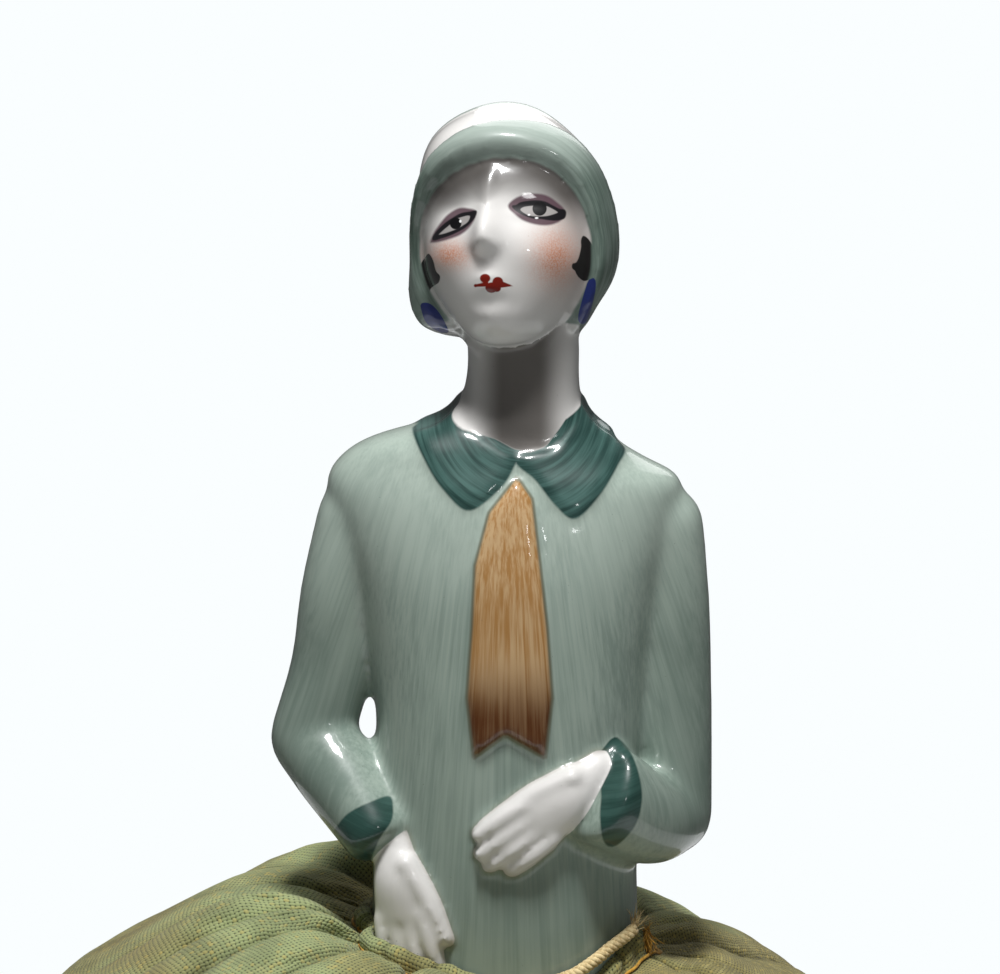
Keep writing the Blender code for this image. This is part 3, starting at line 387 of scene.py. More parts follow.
def body_stations():
    """Rows of (height, sideways, backward, half width, depth in front, depth behind)."""
    waist, deep = WAIST_WIDTH / 2, WAIST_DEPTH / 2
    broad, top = SHOULDER_WIDTH / 2, SHOULDER_HEIGHT
    flat, neck, lean = SHOULDER_DEPTH / 2, NECK_WIDTH / 2, NECK_LEAN
    rim = FLANGE_WIDTH / 2
    flare = rim - waist
    slim = deep - 1.3 * MM
    rise = (NECK_HEIGHT - top) / 5
    return [
        (-FLANGE_DROP, 0, 0, rim, deep + flare, deep + flare),
        (-FLANGE_DROP * 0.75, 0, 0, rim, deep + flare, deep + flare),
        (-FLANGE_DROP * 0.52, 0, 0, waist, deep, deep),
        (0, 0, 0, waist, deep, deep),
        (top * 0.17, 0, 0, waist - 0.2 * MM, deep, deep - 0.4 * MM),
        (top * 0.38, lean * 0.15, 0, waist - 0.3 * MM, deep, slim),
        (top * 0.57, lean * 0.25, 0, waist + (broad - waist) * 0.05, deep + 0.1 * MM, slim),
        (top * 0.76, lean * 0.2, 0.2 * MM, waist + (broad - waist) * 0.38, deep, slim),
        (top * 0.87, lean * 0.1, 0.4 * MM, waist + (broad - waist) * 0.7, flat + 1.9 * MM, slim),
        (top * 0.95, 0, 0.6 * MM, waist + (broad - waist) * 0.93, flat + 1.0 * MM, flat + 0.4 * MM),
        (top, -lean * 0.1, 0.8 * MM, broad - 0.2 * MM, flat + 0.1 * MM, flat - 0.3 * MM),
        (top + rise * 0.85, -lean * 0.7, 1.0 * MM, broad - 2.7 * MM, flat - 0.8 * MM, flat - 1.0 * MM),
        (top + rise * 1.6, -lean * 0.85, 1.1 * MM, broad - 5.4 * MM, flat - 1.5 * MM, flat - 1.7 * MM),
        (top + rise * 2.15, -lean * 0.3, 1.2 * MM, neck + 6.4 * MM, flat - 2.1 * MM, flat - 2.3 * MM),
        (top + rise * 2.7, lean * 0.5, 1.2 * MM, neck + 2.8 * MM, neck + 0.4 * MM, neck),
        (top + rise * 3.6, lean * 0.85, 1.1 * MM, neck + 0.7 * MM, neck + 0.1 * MM, neck - 0.1 * MM),
        (NECK_HEIGHT, lean, 0.9 * MM, neck, neck - 0.2 * MM, neck - 0.2 * MM),
        (NECK_HEIGHT + 4 * MM, lean, 0.6 * MM, neck, neck - 0.2 * MM, neck - 0.2 * MM),
        (NECK_HEIGHT + 9 * MM, lean * 0.6, 0.4 * MM, neck, neck - 0.3 * MM, neck - 0.2 * MM),
        (NECK_HEIGHT + 14 * MM, lean * 0.4, 0.3 * MM, neck - 1.2 * MM, neck - 1.2 * MM, neck - 1 * MM),
    ]


def body_ring(row, sides):
    """One level of the body: a full oval, a little squarer than an ellipse."""
    height, sideways, backward, half_width, front, back = row
    fullness = 2 / BODY_FULLNESS
    points = []
    for angle in np.arange(sides) * 2 * math.pi / sides:
        c, s = math.cos(angle), math.sin(angle)
        x = math.copysign(abs(c) ** fullness, c) * half_width
        y = math.copysign(abs(s) ** fullness, s) * (back if s > 0 else front)
        points.append(Vector((x + sideways, y + backward, height)))
    return points


def body_mesh():
    rows = smooth_grid(np.array(body_stations(), float), 6, False)
    return mesh_of_rings("body", [body_ring(row, 80) for row in rows])


def body_front(x, height):
    """How far forward the body reaches at a point of its front."""
    rows = np.array(body_stations())
    row = [np.interp(height, rows[:, 0], column) for column in rows[:, 1:].T]
    sideways, backward, half_width, front, _ = row
    share = min(abs(x - sideways) / half_width, 0.98)
    return backward - front * (1 - share**BODY_FULLNESS) ** (1 / BODY_FULLNESS)


def head_matrix():
    turn = Euler((-HEAD_TILT, -HEAD_ROLL, -HEAD_TURN), "XYZ").to_matrix().to_4x4()
    return Matrix.Translation(HEAD_CENTRE) @ turn


def bump(x, z, at_x, at_z, wide, tall):
    return np.exp(-(((x - at_x) / wide) ** 2) - ((z - at_z) / tall) ** 2)


def head_reach(directions):
    """How far the bare head reaches in each direction from its middle, in millimetres."""
    dx, dy, dz = directions.T
    half = FACE_WIDTH / MM / 2
    tall = FACE_HEIGHT / MM / 2
    reach = np.full(len(directions), half)
    for _ in range(6):
        z = reach * dz / tall
        jaw = smooth_step(-0.25, -0.95, z)
        wide = half * (1 - 0.30 * jaw)
        deep = np.where(dy < 0, half * (1.06 - 0.06 * jaw), half * 1.02)
        reach = 1 / np.sqrt((dx / wide) ** 2 + (dy / deep) ** 2 + (dz / (tall * 1.06)) ** 2)
    under_jaw = dy * 0.42 - dz * 0.907
    floor = tall * 0.80 / np.maximum(under_jaw, 0.05)
    return (reach**-9.0 + floor**-9.0) ** (-1 / 9)


def hat_inside(directions, reach):
    """Distance in millimetres in from the edge of the hat: negative on bare skin."""
    dx, dy, dz = directions.T
    from_front = np.degrees(np.arccos(np.clip(-dy, -1, 1)))
    around = np.degrees(np.arctan2(dx, dz))
    edge = np.interp(around, *HAT_OPENING)
    opening = np.radians(from_front - edge) * FACE_WIDTH / MM * 0.54
    hem = reach * dz + FACE_HEIGHT / MM * 0.328 + 0.6 * np.clip(dx, -1, 1)
    return np.minimum(opening, hem)


def brim_width(directions):
    """Width of the brim in millimetres: it is narrow at the left of the brow."""
    around = np.degrees(np.arctan2(directions[:, 0], directions[:, 2]))
    return np.interp(around, *BRIM_SHARE) * BRIM_WIDTH / MM


def hat_thickness(inside, brim):
    """Thickness of the hat: the rolled brim, then the band, then the crown."""
    thick, band = HAT_THICKNESS / MM, HAT_BAND / MM
    edge = smooth_step(-0.35, 0.7, inside)
    brim_roll = 1 - smooth_step(brim - 0.5, brim + 0.5, inside)
    crown = smooth_step(brim + band - 0.4, brim + band + 0.4, inside)
    return edge * (thick + 0.75 * brim_roll + 0.35 * crown)


def head_mesh(subdivisions):
    shape = bmesh.new()
    bmesh.ops.create_icosphere(shape, subdivisions=subdivisions, radius=1.0)
    directions = np.array([v.co.normalized() for v in shape.verts])
    reach = head_reach(directions)
    inside = hat_inside(directions, reach)
    covered = smooth_step(0, 3, inside)
    fullness = 1.0 * smooth_step(-0.3, 0.5, directions[:, 1])
    flare = 1.9 * bump(directions[:, 0], directions[:, 2], -0.85, -0.62, 0.35, 0.3)
    flare = flare - 0.9 * bump(directions[:, 0], directions[:, 2], 0.75, -0.6, 0.3, 0.3)
    lean = 1.3 * bump(directions[:, 0], directions[:, 2], -0.62, 0.74, 0.4, 0.35)
    lean = lean - 1.7 * bump(directions[:, 0], directions[:, 2], 0.22, 0.97, 0.6, 0.3)
    brim = brim_width(directions)
    around = np.abs(np.degrees(np.arctan2(directions[:, 0], directions[:, 2])))
    roll = np.sin(math.pi * np.clip((inside + 0.2) / (brim + 0.2), 0, 1)) ** 0.7 * BRIM_ROLL
    reach = reach + hat_thickness(inside, brim) + roll * smooth_step(100, 45, around)
    reach = reach + covered * (fullness + flare + lean)
    points = directions * reach[:, None]
    for vert, point in zip(shape.verts, points):
        vert.co = Vector(point) * MM
    mesh = bpy.data.meshes.new("head")
    shape.to_mesh(mesh)
    shape.free()
    mesh.transform(head_matrix())
    return mesh


def arm_meshes():
    """Both sleeves: each an upper arm and a forearm that ends in its cuff."""
    across, upright = (1, 0, 0), (0, 0, 1)
    thick = SLEEVE / 2
    out = SHOULDER_WIDTH / 2 - 0.35 * thick
    high = SHOULDER_HEIGHT - thick * 1.02
    hip_elbow = (-out - 3.8 * MM, 1.2 * MM, 22.4 * MM)
    hip_cuff = hip_wrist() + Vector((-1.2, 1.2, 0.4)) * MM
    lap_elbow = (out + 0.7 * MM, 0.6 * MM, 13.2 * MM)
    lap_cuff = lap_wrist() + Vector((0.6, 0.9, -1.9)) * MM
    hip_upper = [
        (-out + 1.8 * MM, 1.0 * MM, high, thick, thick * 1.05),
        (-out - 0.4 * MM, 1.0 * MM, high - 9.0 * MM, thick * 0.96, thick * 1.05),
        (-out - 1.3 * MM, 1.2 * MM, high - 18 * MM, thick * 1.04, thick),
        (*hip_elbow, thick * 1.04, thick),
    ]
    hip_fore = [
        (*hip_elbow, thick * 1.04, thick),
        (-out - 0.2 * MM, -2.6 * MM, 18.6 * MM, thick * 1.08, thick),
        (*hip_cuff, thick * 0.80, thick * 0.86),
    ]
    lap_upper = [
        (out - 0.5 * MM, 1.0 * MM, high - 1.0 * MM, thick, thick * 1.05),
        (out + 0.2 * MM, 1.0 * MM, high - 11 * MM, thick * 1.02, thick * 1.05),
        (out + 0.5 * MM, 1.0 * MM, high - 21 * MM, thick * 1.02, thick * 1.02),
        (*lap_elbow, thick * 1.0, thick * 1.04),
    ]
    lap_fore = [
        (*lap_elbow, thick, thick),
        (out - 2.4 * MM, -5.0 * MM, 14.0 * MM, thick * 1.16, thick),
        (*lap_cuff, CUFF_WIDTH / 2, thick * 1.02),
    ]
    return [
        limb("hip_upper_arm", hip_upper, across),
        limb("hip_forearm", hip_fore, across, blunt=0.25),
        limb("lap_upper_arm", lap_upper, across),
        limb("lap_forearm", lap_fore, upright, blunt=0.2),
    ]


def hip_wrist():
    x, z = -13.4 * MM, 11.4 * MM
    return Vector((x, body_front(x + 2.4 * MM, z) - 0.4 * MM, z))


def lap_wrist():
    x, z = 10.4 * MM, 20.4 * MM
    return Vector((x, body_front(x, z) - 2.0 * MM, z))


def hand_meshes(name, wrist, aim, facing, thumb_side, thumb_spread):
    """A flat palm, four fingers side by side and a thumb. aim is the way that it points along
    the front of the body, facing the way that its back looks, and thumb_side is +1 or -1."""
    along = Vector((aim[0], 0, aim[1])).normalized()
    tip = wrist + along * HAND_LENGTH
    tip.y = body_front(tip.x, max(tip.z, 0)) - 0.9 * MM
    along = (tip - wrist).normalized()
    outward = Vector((*facing, 0))
    outward = (outward - along * outward.dot(along)).normalized()
    across = along.cross(outward).normalized() * thumb_side
    wide = HAND_WIDTH / 2

    def place(forward, sideways, lift):
        return wrist + along * (HAND_LENGTH * forward) + across * sideways + outward * lift

    palm = [
        (*place(-0.06, 0, -1.8 * MM), wide * 0.60, wide * 0.50),
        (*place(0.1, 0, -0.9 * MM), wide * 0.72, wide * 0.56),
        (*place(0.26, 0, -0.1 * MM), wide * 0.84, wide * 0.58),
        (*place(0.5, 0, 0.1 * MM), wide * 1.0, wide * 0.46),
    ]
    made = [limb(f"{name}_palm", palm, across)]
    for i, reach in enumerate((0.93, 1.0, 0.99, 0.88)):
        sideways = wide * (0.76 - 0.5 * i)
        fan = 1.0 + 0.06 * abs(i - 1.5)
        finger = [
            (*place(0.5, sideways, 0.15 * MM), wide * 0.32, wide * 0.40),
            (*place(reach * 0.78, sideways * fan, 0.25 * MM), wide * 0.29, wide * 0.38),
            (*place(reach, sideways * fan, -0.1 * MM), wide * 0.21, wide * 0.28),
        ]
        made.append(limb(f"{name}_finger_{i}", finger, across, 16, 5))
    thumb = [
        (*place(0.12, wide * 0.5, 0.2 * MM), wide * 0.36, wide * 0.42),
        (*place(0.42, wide * (0.8 + 0.3 * thumb_spread), 0.1 * MM), wide * 0.30, wide * 0.38),
        (*place(0.72, wide * (0.9 + 0.6 * thumb_spread), -0.2 * MM), wide * 0.2, wide * 0.26),
    ]
    made.append(limb(f"{name}_thumb", thumb, across, 16, 5))
    return made


def both_hands():
    hands = hand_meshes("hip", hip_wrist(), (0.19, -1.0), (-0.35, -0.94), -1, 0.75)
    return hands + hand_meshes("lap", lap_wrist(), (-0.8, -0.6), (0.1, -1.0), 1, 0.0)


def melt(thing, voxel, passes):
    """Joins the shapes that overlap into one skin and softens where they meet."""
    remesh = thing.modifiers.new("one_skin", "REMESH")
    remesh.mode = "VOXEL"
    remesh.voxel_size = voxel
    soften = thing.modifiers.new("soften", "SMOOTH")
    soften.factor = 0.5
    soften.iterations = passes
    return apply_modifiers(thing)


def line_distance(points, line):
    """How far points lie from a broken line."""
    ends = np.array(line, float)
    nearest = np.full(len(points), 1e9)
    for a, b in zip(ends[:-1], ends[1:]):
        edge = b - a
        t = np.clip(((points - a) @ edge) / (edge @ edge), 0, 1)
        nearest = np.minimum(nearest, np.linalg.norm(points - a - t[:, None] * edge, axis=1))
    return nearest


def depth_inside(points, outline):
    """How far each point lies inside an outline, negative outside it."""
    ends = np.array(outline, float)
    nearest = line_distance(points, np.vstack([ends, ends[:1]]))
    crossings = np.zeros(len(points), bool)
    for a, b in zip(ends, np.roll(ends, -1, axis=0)):
        edge = b - a
        spans = (a[1] > points[:, 1]) != (b[1] > points[:, 1])
        reach = a[0] + (points[:, 1] - a[1]) * edge[0] / (edge[1] if edge[1] else 1e-9)
        crossings ^= spans & (points[:, 0] < reach)
    return np.where(crossings, nearest, -nearest)


def rounded(outline, steps=6):
    """The same closed outline, drawn as a smooth curve."""
    return smooth_grid(np.array(outline, float), steps, True)


def distances_to(meshes, points):
    """How far each point lies from the nearest of some meshes, in millimetres."""
    shape = bmesh.new()
    for mesh in meshes:
        shape.from_mesh(mesh)
    tree = BVHTree.FromBMesh(shape)
    shape.free()
    return np.array([tree.find_nearest(Vector(point))[3] for point in points]) / MM


def head_places(points):
    """Points in the head's own frame, in millimetres: x across, -y out of the face, z up."""
    matrix = np.array(head_matrix().inverted())
    return (points @ matrix[:3, :3].T + matrix[:3, 3]) / MM


def face_relief(x, z):
    """Height of the features over the plain face, in millimetres."""
    down = smooth_step(2.6, -3.8, z) * (1 - smooth_step(-3.9, -7.4, z))
    nose = down * (0.55 + 1.45 * down) * np.exp(-((x / (0.95 + 0.65 * down)) ** 2))
    wings = 0.2 * (bump(x, z, -1.1, -4.8, 0.6, 0.7) + bump(x, z, 1.1, -4.8, 0.6, 0.7))
    bridge = 0.55 * bump(x, z, 0, 2.4, 1.1, 2.9)
    mouth = 0.4 * bump(x, z, 0, -8.6, 2.3, 1.5) - 0.2 * bump(x, z, 0, -10.6, 2.6, 0.9)
    lips = 0.12 * bump(x, z, 0, -8.0, 1.4, 0.5) + 0.15 * bump(x, z, 0, -9.1, 1.1, 0.5)
    chin = 0.7 * bump(x, z, 0, -13.0, 2.9, 2.0)
    paired = 0
    for side in (-1, 1):
        paired = paired - 0.9 * bump(x, z, side * 4.4, 0.2, 2.7, 2.1)
        paired = paired + 0.3 * bump(x, z, side * 4.5, -0.5, 1.9, 0.9)
        paired = paired + 0.4 * bump(x, z, side * 5.4, -5.2, 2.8, 2.2)
    return nose + wings + bridge + mouth + lips + chin + paired


def refine_face(figure):
    """Splits the faces of the face finely, so that its small features hold their shape."""
    mesh = figure.data
    places = head_places(coordinates(mesh))
    reach = np.linalg.norm(places, axis=1)
    directions = places / reach[:, None]
    on_face = (directions[:, 1] < -0.30) & (reach < 17) & (hat_inside(directions, reach) < 0.8)
    split_edges(mesh, on_face)


def refine_paint(figure, camera):
    """Splits the faces once more where the finest paint lies: round the eyes and the mouth."""
    mesh = figure.data
    placed = coordinates(mesh) + np.array((DOLL_OFFSET, 0, WAIST_HEIGHT))
    pixels = photo_places(placed, camera)
    outlines = (SHADE_LEFT, SHADE_RIGHT, *LIP_TIPS)
    depth = [depth_inside(pixels, outline) for outline in outlines]
    depth += [ellipse_depth(pixels, spot) for spot in LIP_SPOTS]
    fine = (np.max(depth, axis=0) > -3) & (vertex_normals(mesh)[:, 1] < -0.2)
    split_edges(mesh, fine)


def split_edges(mesh, chosen):
    shape = bmesh.new()
    shape.from_mesh(mesh)
    edges = [e for e in shape.edges if chosen[e.verts[0].index] and chosen[e.verts[1].index]]
    bmesh.ops.subdivide_edges(shape, edges=edges, cuts=1, use_grid_fill=True, smooth=0.4)
    bmesh.ops.triangulate(shape, faces=[f for f in shape.faces if len(f.verts) > 4])
    shape.to_mesh(mesh)
    shape.free()


def add_face(figure, camera):
    mesh = figure.data
    points = coordinates(mesh)
    places = head_places(points)
    reach = np.linalg.norm(places, axis=1)
    directions = places / reach[:, None]
    bare = 1 - smooth_step(-1.0, 0.1, hat_inside(directions, reach))
    facing = smooth_step(-0.3, -0.65, directions[:, 1]) * bare * (reach < 18)
    forward = np.array(head_matrix().to_3x3() @ Vector((0, -1, 0)))
    points += forward * (facing * face_relief(places[:, 0], places[:, 2]) * MM)[:, None]
    pixels = photo_places(points + np.array((DOLL_OFFSET, 0, WAIST_HEIGHT)), camera)
    jaw = np.min([line_distance(pixels, line) for line in JAW_LINES], axis=0)
    here = (vertex_normals(mesh)[:, 1] < -0.1) * (reach < 18)
    ridge = np.exp(-((jaw / JAW_LINE_WIDTH) ** 2)) * JAW_LINE_RISE
    points += vertex_normals(mesh) * (here * bare * ridge)[:, None]
    move_vertices(mesh, points)


def periodic(angles, table):
    rows = np.array(table, float)
    return np.interp(np.degrees(angles) % 360, rows[:, 0], rows[:, 1])


def neck_fields(points):
    """Height over the neckline, and over the collar's edge, in millimetres."""
    axis = np.array((NECK_LEAN, 1 * MM))
    angles = np.arctan2(points[:, 1] - axis[1], points[:, 0] - axis[0])
    height = points[:, 2] / MM
    return height - periodic(angles, NECKLINE), height - periodic(angles, COLLAR_EDGE)


def ellipse_depth(points, ellipse):
    """About how far points lie inside an ellipse of (x, y, half length, half height, turn)."""
    x, y, half_length, half_height, turn = ellipse
    c, s = math.cos(math.radians(turn)), math.sin(math.radians(turn))
    across = (points[:, 0] - x) * c + (points[:, 1] - y) * s
    up = -(points[:, 0] - x) * s + (points[:, 1] - y) * c
    reach = np.hypot(across / half_length, up / half_height)
    return (1 - reach) * half_height


def paint_fields(figure, camera, parts):
    """Stores, for each vertex, how far it lies inside each painted field."""
    mesh = figure.data
    points = coordinates(mesh)
    placed = points + np.array((DOLL_OFFSET, 0, WAIST_HEIGHT))
    pixels = photo_places(placed, camera)
    normals = vertex_normals(mesh)
    near = {name: distances_to(meshes, points) for name, meshes in parts.items()}
    clothes = np.minimum(near["body"], near["arms"])
    hand = clothes - near["hands"]
    head = smooth_step(-0.1, 0.1, clothes - near["head"])
    above_neckline, above_collar = neck_fields(points)
    places = head_places(points)
    reach = np.linalg.norm(places, axis=1)
    inside_hat = hat_inside(places / reach[:, None], reach)
    on_body = 1 - head
    neck = np.where(near["body"] < near["arms"] + 3, above_neckline, -5)
    skin = np.maximum(np.maximum(hand, neck), head * 10 - 5)
    front = smooth_step(2.5, -1.0, points[:, 1] / MM)
    collar_front = np.max([depth_inside(pixels, rounded(o)) for o in (COLLAR_LEFT, COLLAR_RIGHT)], axis=0)
    collar_front = np.where(normals[:, 1] > 0.3, -20, collar_front)
    collar_back = np.minimum(above_collar, -above_neckline) / (PIXEL / MM)
    stand = (COLLAR_STAND + above_neckline) / (PIXEL / MM)
    collar = np.maximum(collar_front * front + collar_back * (1 - front), stand)
    tie = np.where(normals[:, 1] < 0, depth_inside(pixels, TIE), -30)
    store(mesh, "skin", skin)
    store(mesh, "collar", np.where(on_body > 0.5, collar, -20))
    store(mesh, "tie", np.minimum(tie, 30))
    store(mesh, "hat", np.where(head > 0.5, inside_hat, -6))
    store(mesh, "brim", brim_width(places / reach[:, None]))
    store(mesh, "neck", 1 - head)
    cuffs = [depth_inside(pixels, rounded(outline)) for outline in (CUFF_LAP, CUFF_HIP)]
    sleeve = near["body"] - near["arms"]
    store(mesh, "cuff", np.minimum(np.max(cuffs, axis=0) * PIXEL / MM, sleeve + 0.6))
    # Where the hands and the body come close: this carries the painted shade in the crease between them
    between = np.minimum(near["hands"] - near["body"], near["body"] - near["hands"])
    crease = smooth_step(0.9, 0.1, np.maximum(near["hands"], near["body"]))
    store(mesh, "crease", np.where(between < 9, crease, 0) * (head < 0.5))
    seen = (normals @ np.array((0, -1, 0.17)) > 0.05) & (head > 0.5)

    def paint(name, depths):
        store(mesh, name, np.where(seen, np.maximum(np.max(depths, axis=0), -30), -30))

    paint("lids", [depth_inside(pixels, rounded(outline)) for outline in (LIDS_LEFT, LIDS_RIGHT)])
    paint("eye_white", [depth_inside(pixels, rounded(outline)) for outline in (WHITE_LEFT, WHITE_RIGHT)])
    paint("eye_shade", [depth_inside(pixels, rounded(outline)) for outline in (SHADE_LEFT, SHADE_RIGHT)])
    paint("iris", [r - np.hypot(pixels[:, 0] - x, pixels[:, 1] - y) for x, y, r in (IRIS_LEFT, IRIS_RIGHT)])
    paint("glint", [ellipse_depth(pixels, spot) for spot in GLINTS])
    paint("hair", [depth_inside(pixels, rounded(outline)) for outline in (CURL_LEFT, CURL_RIGHT)])
    paint("earring", [depth_inside(pixels, rounded(outline)) for outline in (EARRING_LEFT, EARRING_RIGHT)])
    spots = [ellipse_depth(pixels, spot) for spot in LIP_SPOTS]
    paint("lips", spots + [depth_inside(pixels, outline) for outline in LIP_TIPS])
    rouge = [bump(pixels[:, 0], pixels[:, 1], *shape) for shape in (ROUGE_LEFT, ROUGE_RIGHT)]
    store(mesh, "rouge", np.where(seen, np.max(rouge, axis=0), 0))


def raise_clothes(figure, camera):
    """Lifts the collar and the tie off the front of the jumper."""
    mesh = figure.data
    points, normals = coordinates(mesh), vertex_normals(mesh)
    placed = points + np.array((DOLL_OFFSET, 0, WAIST_HEIGHT))
    pixels = photo_places(placed, camera)
    facing = smooth_step(0.1, 0.35, -normals[:, 1])
    lift = np.zeros(len(points))
    for outline, height in ((COLLAR_LEFT, COLLAR_RISE), (COLLAR_RIGHT, COLLAR_RISE), (TIE, TIE_RISE)):
        edge = smooth_step(-1.5, 4.0, depth_inside(pixels, outline))
        lift = np.maximum(lift, edge * height * facing)
    above_neckline, above_collar = neck_fields(points)
    nape = smooth_step(-0.3, 0.3, above_collar) * (1 - smooth_step(-0.6, 0, above_neckline))
    lift = np.maximum(lift, nape * COLLAR_RISE * smooth_step(-0.1, 0.2, normals[:, 1]))
    move_vertices(mesh, points + normals * lift[:, None])


def sculpt_figure(camera):
    arms = arm_meshes()
    body = body_mesh()
    figure = add_object("porcelain_figure", joined("masses", [body, *arms]))
    melt(figure, SCULPT_VOXEL, BODY_SOFTENING)
    raise_clothes(figure, camera)
    hands = both_hands()
    head = head_mesh(HEAD_FINENESS)
    figure.data = joined("figure", [figure.data, head, *hands])
    melt(figure, SCULPT_VOXEL, JOIN_SOFTENING)
    refine_face(figure)
    add_face(figure, camera)
    refine_paint(figure, camera)
    parts = {"body": [body], "arms": arms, "hands": hands, "head": [head]}
    paint_fields(figure, camera, parts)
    figure.data.transform(Matrix.Translation((DOLL_OFFSET, 0, WAIST_HEIGHT)))
    figure.data.shade_smooth()
    return figure


# Materials

class Nodes:
    """A short way to write a material's nodes."""

    def __init__(self, name):
        self.material = bpy.data.materials.new(name)
        self.material.use_nodes = True
        self.tree = self.material.node_tree
        self.shader = self.tree.nodes["Principled BSDF"]

    def add(self, kind, **settings):
        node = self.tree.nodes.new(kind)
        for key, value in settings.items():
            setattr(node, key, value)
        return node

    def feed(self, socket, value):
        if isinstance(value, bpy.types.NodeSocket):
            self.tree.links.new(value, socket)
        else:
            socket.default_value = value

    def field(self, name):
        return self.add("ShaderNodeAttribute", attribute_name=name).outputs["Fac"]

    def vector(self, x, y, z):
        node = self.add("ShaderNodeCombineXYZ")
        for socket, value in zip(node.inputs, (x, y, z)):
            self.feed(socket, value)
        return node.outputs[0]

    def weighted(self, *parts):
        """A sum of fields, each with its weight."""
        total = 0.0
        for value, weight in parts:
            total = self.maths("MULTIPLY_ADD", value, weight, total)
        return total

    def maths(self, operation, first, second=0.0, third=0.0):
        node = self.add("ShaderNodeMath", operation=operation)
        for socket, value in zip(node.inputs, (first, second, third)):
            self.feed(socket, value)
        return node.outputs[0]

    def ramp(self, value, low, high):
        node = self.add("ShaderNodeMapRange", interpolation_type="SMOOTHSTEP")
        self.feed(node.inputs["Value"], value)
        node.inputs["From Min"].default_value = low
        node.inputs["From Max"].default_value = high
        return node.outputs["Result"]

    def times(self, first, second):
        return self.maths("MULTIPLY", first, second)

    def mix(self, share, first, second):
        node = self.add("ShaderNodeMix", data_type="RGBA")
        self.feed(node.inputs["Factor"], share)
        self.feed(node.inputs["A"], first)
        self.feed(node.inputs["B"], second)
        return node.outputs["Result"]

    def noise(self, scale, stretch=(1, 1, 1), detail=3.0, roughness=0.55, where=None):
        mapping = self.add("ShaderNodeMapping")
        mapping.inputs["Scale"].default_value = stretch
        source = where or self.add("ShaderNodeTexCoord").outputs["Object"]
        self.tree.links.new(source, mapping.inputs["Vector"])
        node = self.add("ShaderNodeTexNoise")
        node.inputs["Scale"].default_value = scale
        node.inputs["Detail"].default_value = detail
        node.inputs["Roughness"].default_value = roughness
        self.tree.links.new(mapping.outputs[0], node.inputs["Vector"])
        return node.outputs["Fac"]

    def bump(self, height, strength, distance):
        node = self.add("ShaderNodeBump")
        node.inputs["Strength"].default_value = strength
        node.inputs["Distance"].default_value = distance
        self.feed(node.inputs["Height"], height)
        return node.outputs["Normal"]

    def finish(self, colour, normal, **values):
        """Sets the surface: its colour, its relief, and plain values by their sockets' names."""
        self.feed(self.shader.inputs["Base Color"], colour)
        self.feed(self.shader.inputs["Normal"], normal)
        for name, value in values.items():
            self.shader.inputs[name.replace("_", " ")].default_value = value
        return self.material


# The paints, and the colours of painted light and shade
WHITE = rgb(222, 220, 217)
JUMPER = rgb(158, 173, 162)
JUMPER_DARK = rgb(130, 147, 137)
# Painted light for the upper jumper, and painted shade for its lower part
JUMPER_PAINTED_LIGHT = rgb(190, 204, 194)
JUMPER_PAINTED_SHADE = rgb(96, 112, 102)
# Painted shade for the outer sides of the sleeves, further down
SLEEVE_PAINTED_SHADE = rgb(78, 94, 85)
TEAL = rgb(74, 108, 102)
TEAL_DARK = rgb(36, 64, 60)
CUFF_DARK = rgb(30, 60, 52)
HAT = rgb(134, 150, 141)
HAT_DARK = rgb(90, 107, 98)
# Painted light for the top of the hat
HAT_PAINTED_LIGHT = rgb(188, 200, 192)
TIE_PALE = rgb(196, 164, 122)
TIE_OCHRE = rgb(168, 124, 72)
TIE_DARK = rgb(82, 40, 2)
TIE_EDGE = rgb(88, 78, 44)
EARRING = rgb(32, 46, 112)
BROW_SHADE = rgb(58, 53, 49)
CHIN_SHADE = rgb(62, 54, 46)
# Brownish painted shade for the crease where the hands meet the body
CREASE_SHADE = rgb(118, 104, 78)
PIT = rgb(70, 78, 66)
ROUGE = rgb(206, 128, 88)
# What lies on the face, in order: its field, where its edge starts and ends, strength, colour
FACE_PAINTS = [
    ("eye_shade", -1.6, 1.4, 0.95, rgb(88, 64, 74)),
    ("lids", -1.3, 0.3, 1.0, rgb(24, 22, 26)),
    ("eye_white", 0.0, 1.2, 1.0, rgb(158, 154, 152)),
    ("iris", -0.6, 0.3, 1.0, rgb(10, 9, 12)),
    ("glint", -0.3, 0.4, 1.0, rgb(240, 240, 240)),
    ("lips", -0.5, 0.6, 1.0, rgb(118, 24, 10)),
    ("hair", -0.5, 0.5, 1.0, rgb(30, 28, 28)),
]
# Levels between which the paints and the painted light and shade change
BROW_LOW = WAIST_HEIGHT + 82 * MM
BROW_HIGH = WAIST_HEIGHT + 88 * MM
HAT_TOP_LOW = WAIST_HEIGHT + 88 * MM
HAT_TOP_HIGH = WAIST_HEIGHT + 96 * MM
THROAT = WAIST_HEIGHT + 55 * MM
NECK_MIDDLE = 1.8 * MM
JUMPER_DIM = WAIST_HEIGHT + 32 * MM
JUMPER_BRIGHT = WAIST_HEIGHT + 52 * MM
TIE_FOOT = WAIST_HEIGHT + 27 * MM
TIE_HEAD = WAIST_HEIGHT + 36 * MM
SLEEVE_FROM = 15 * MM
SLEEVE_TO = 22 * MM
# The brush strokes of the jumper fan out from one point, and those of the collar go round another
STROKES_MEET = WAIST_HEIGHT + 95 * MM
STROKES_ROUND = WAIST_HEIGHT + 63 * MM


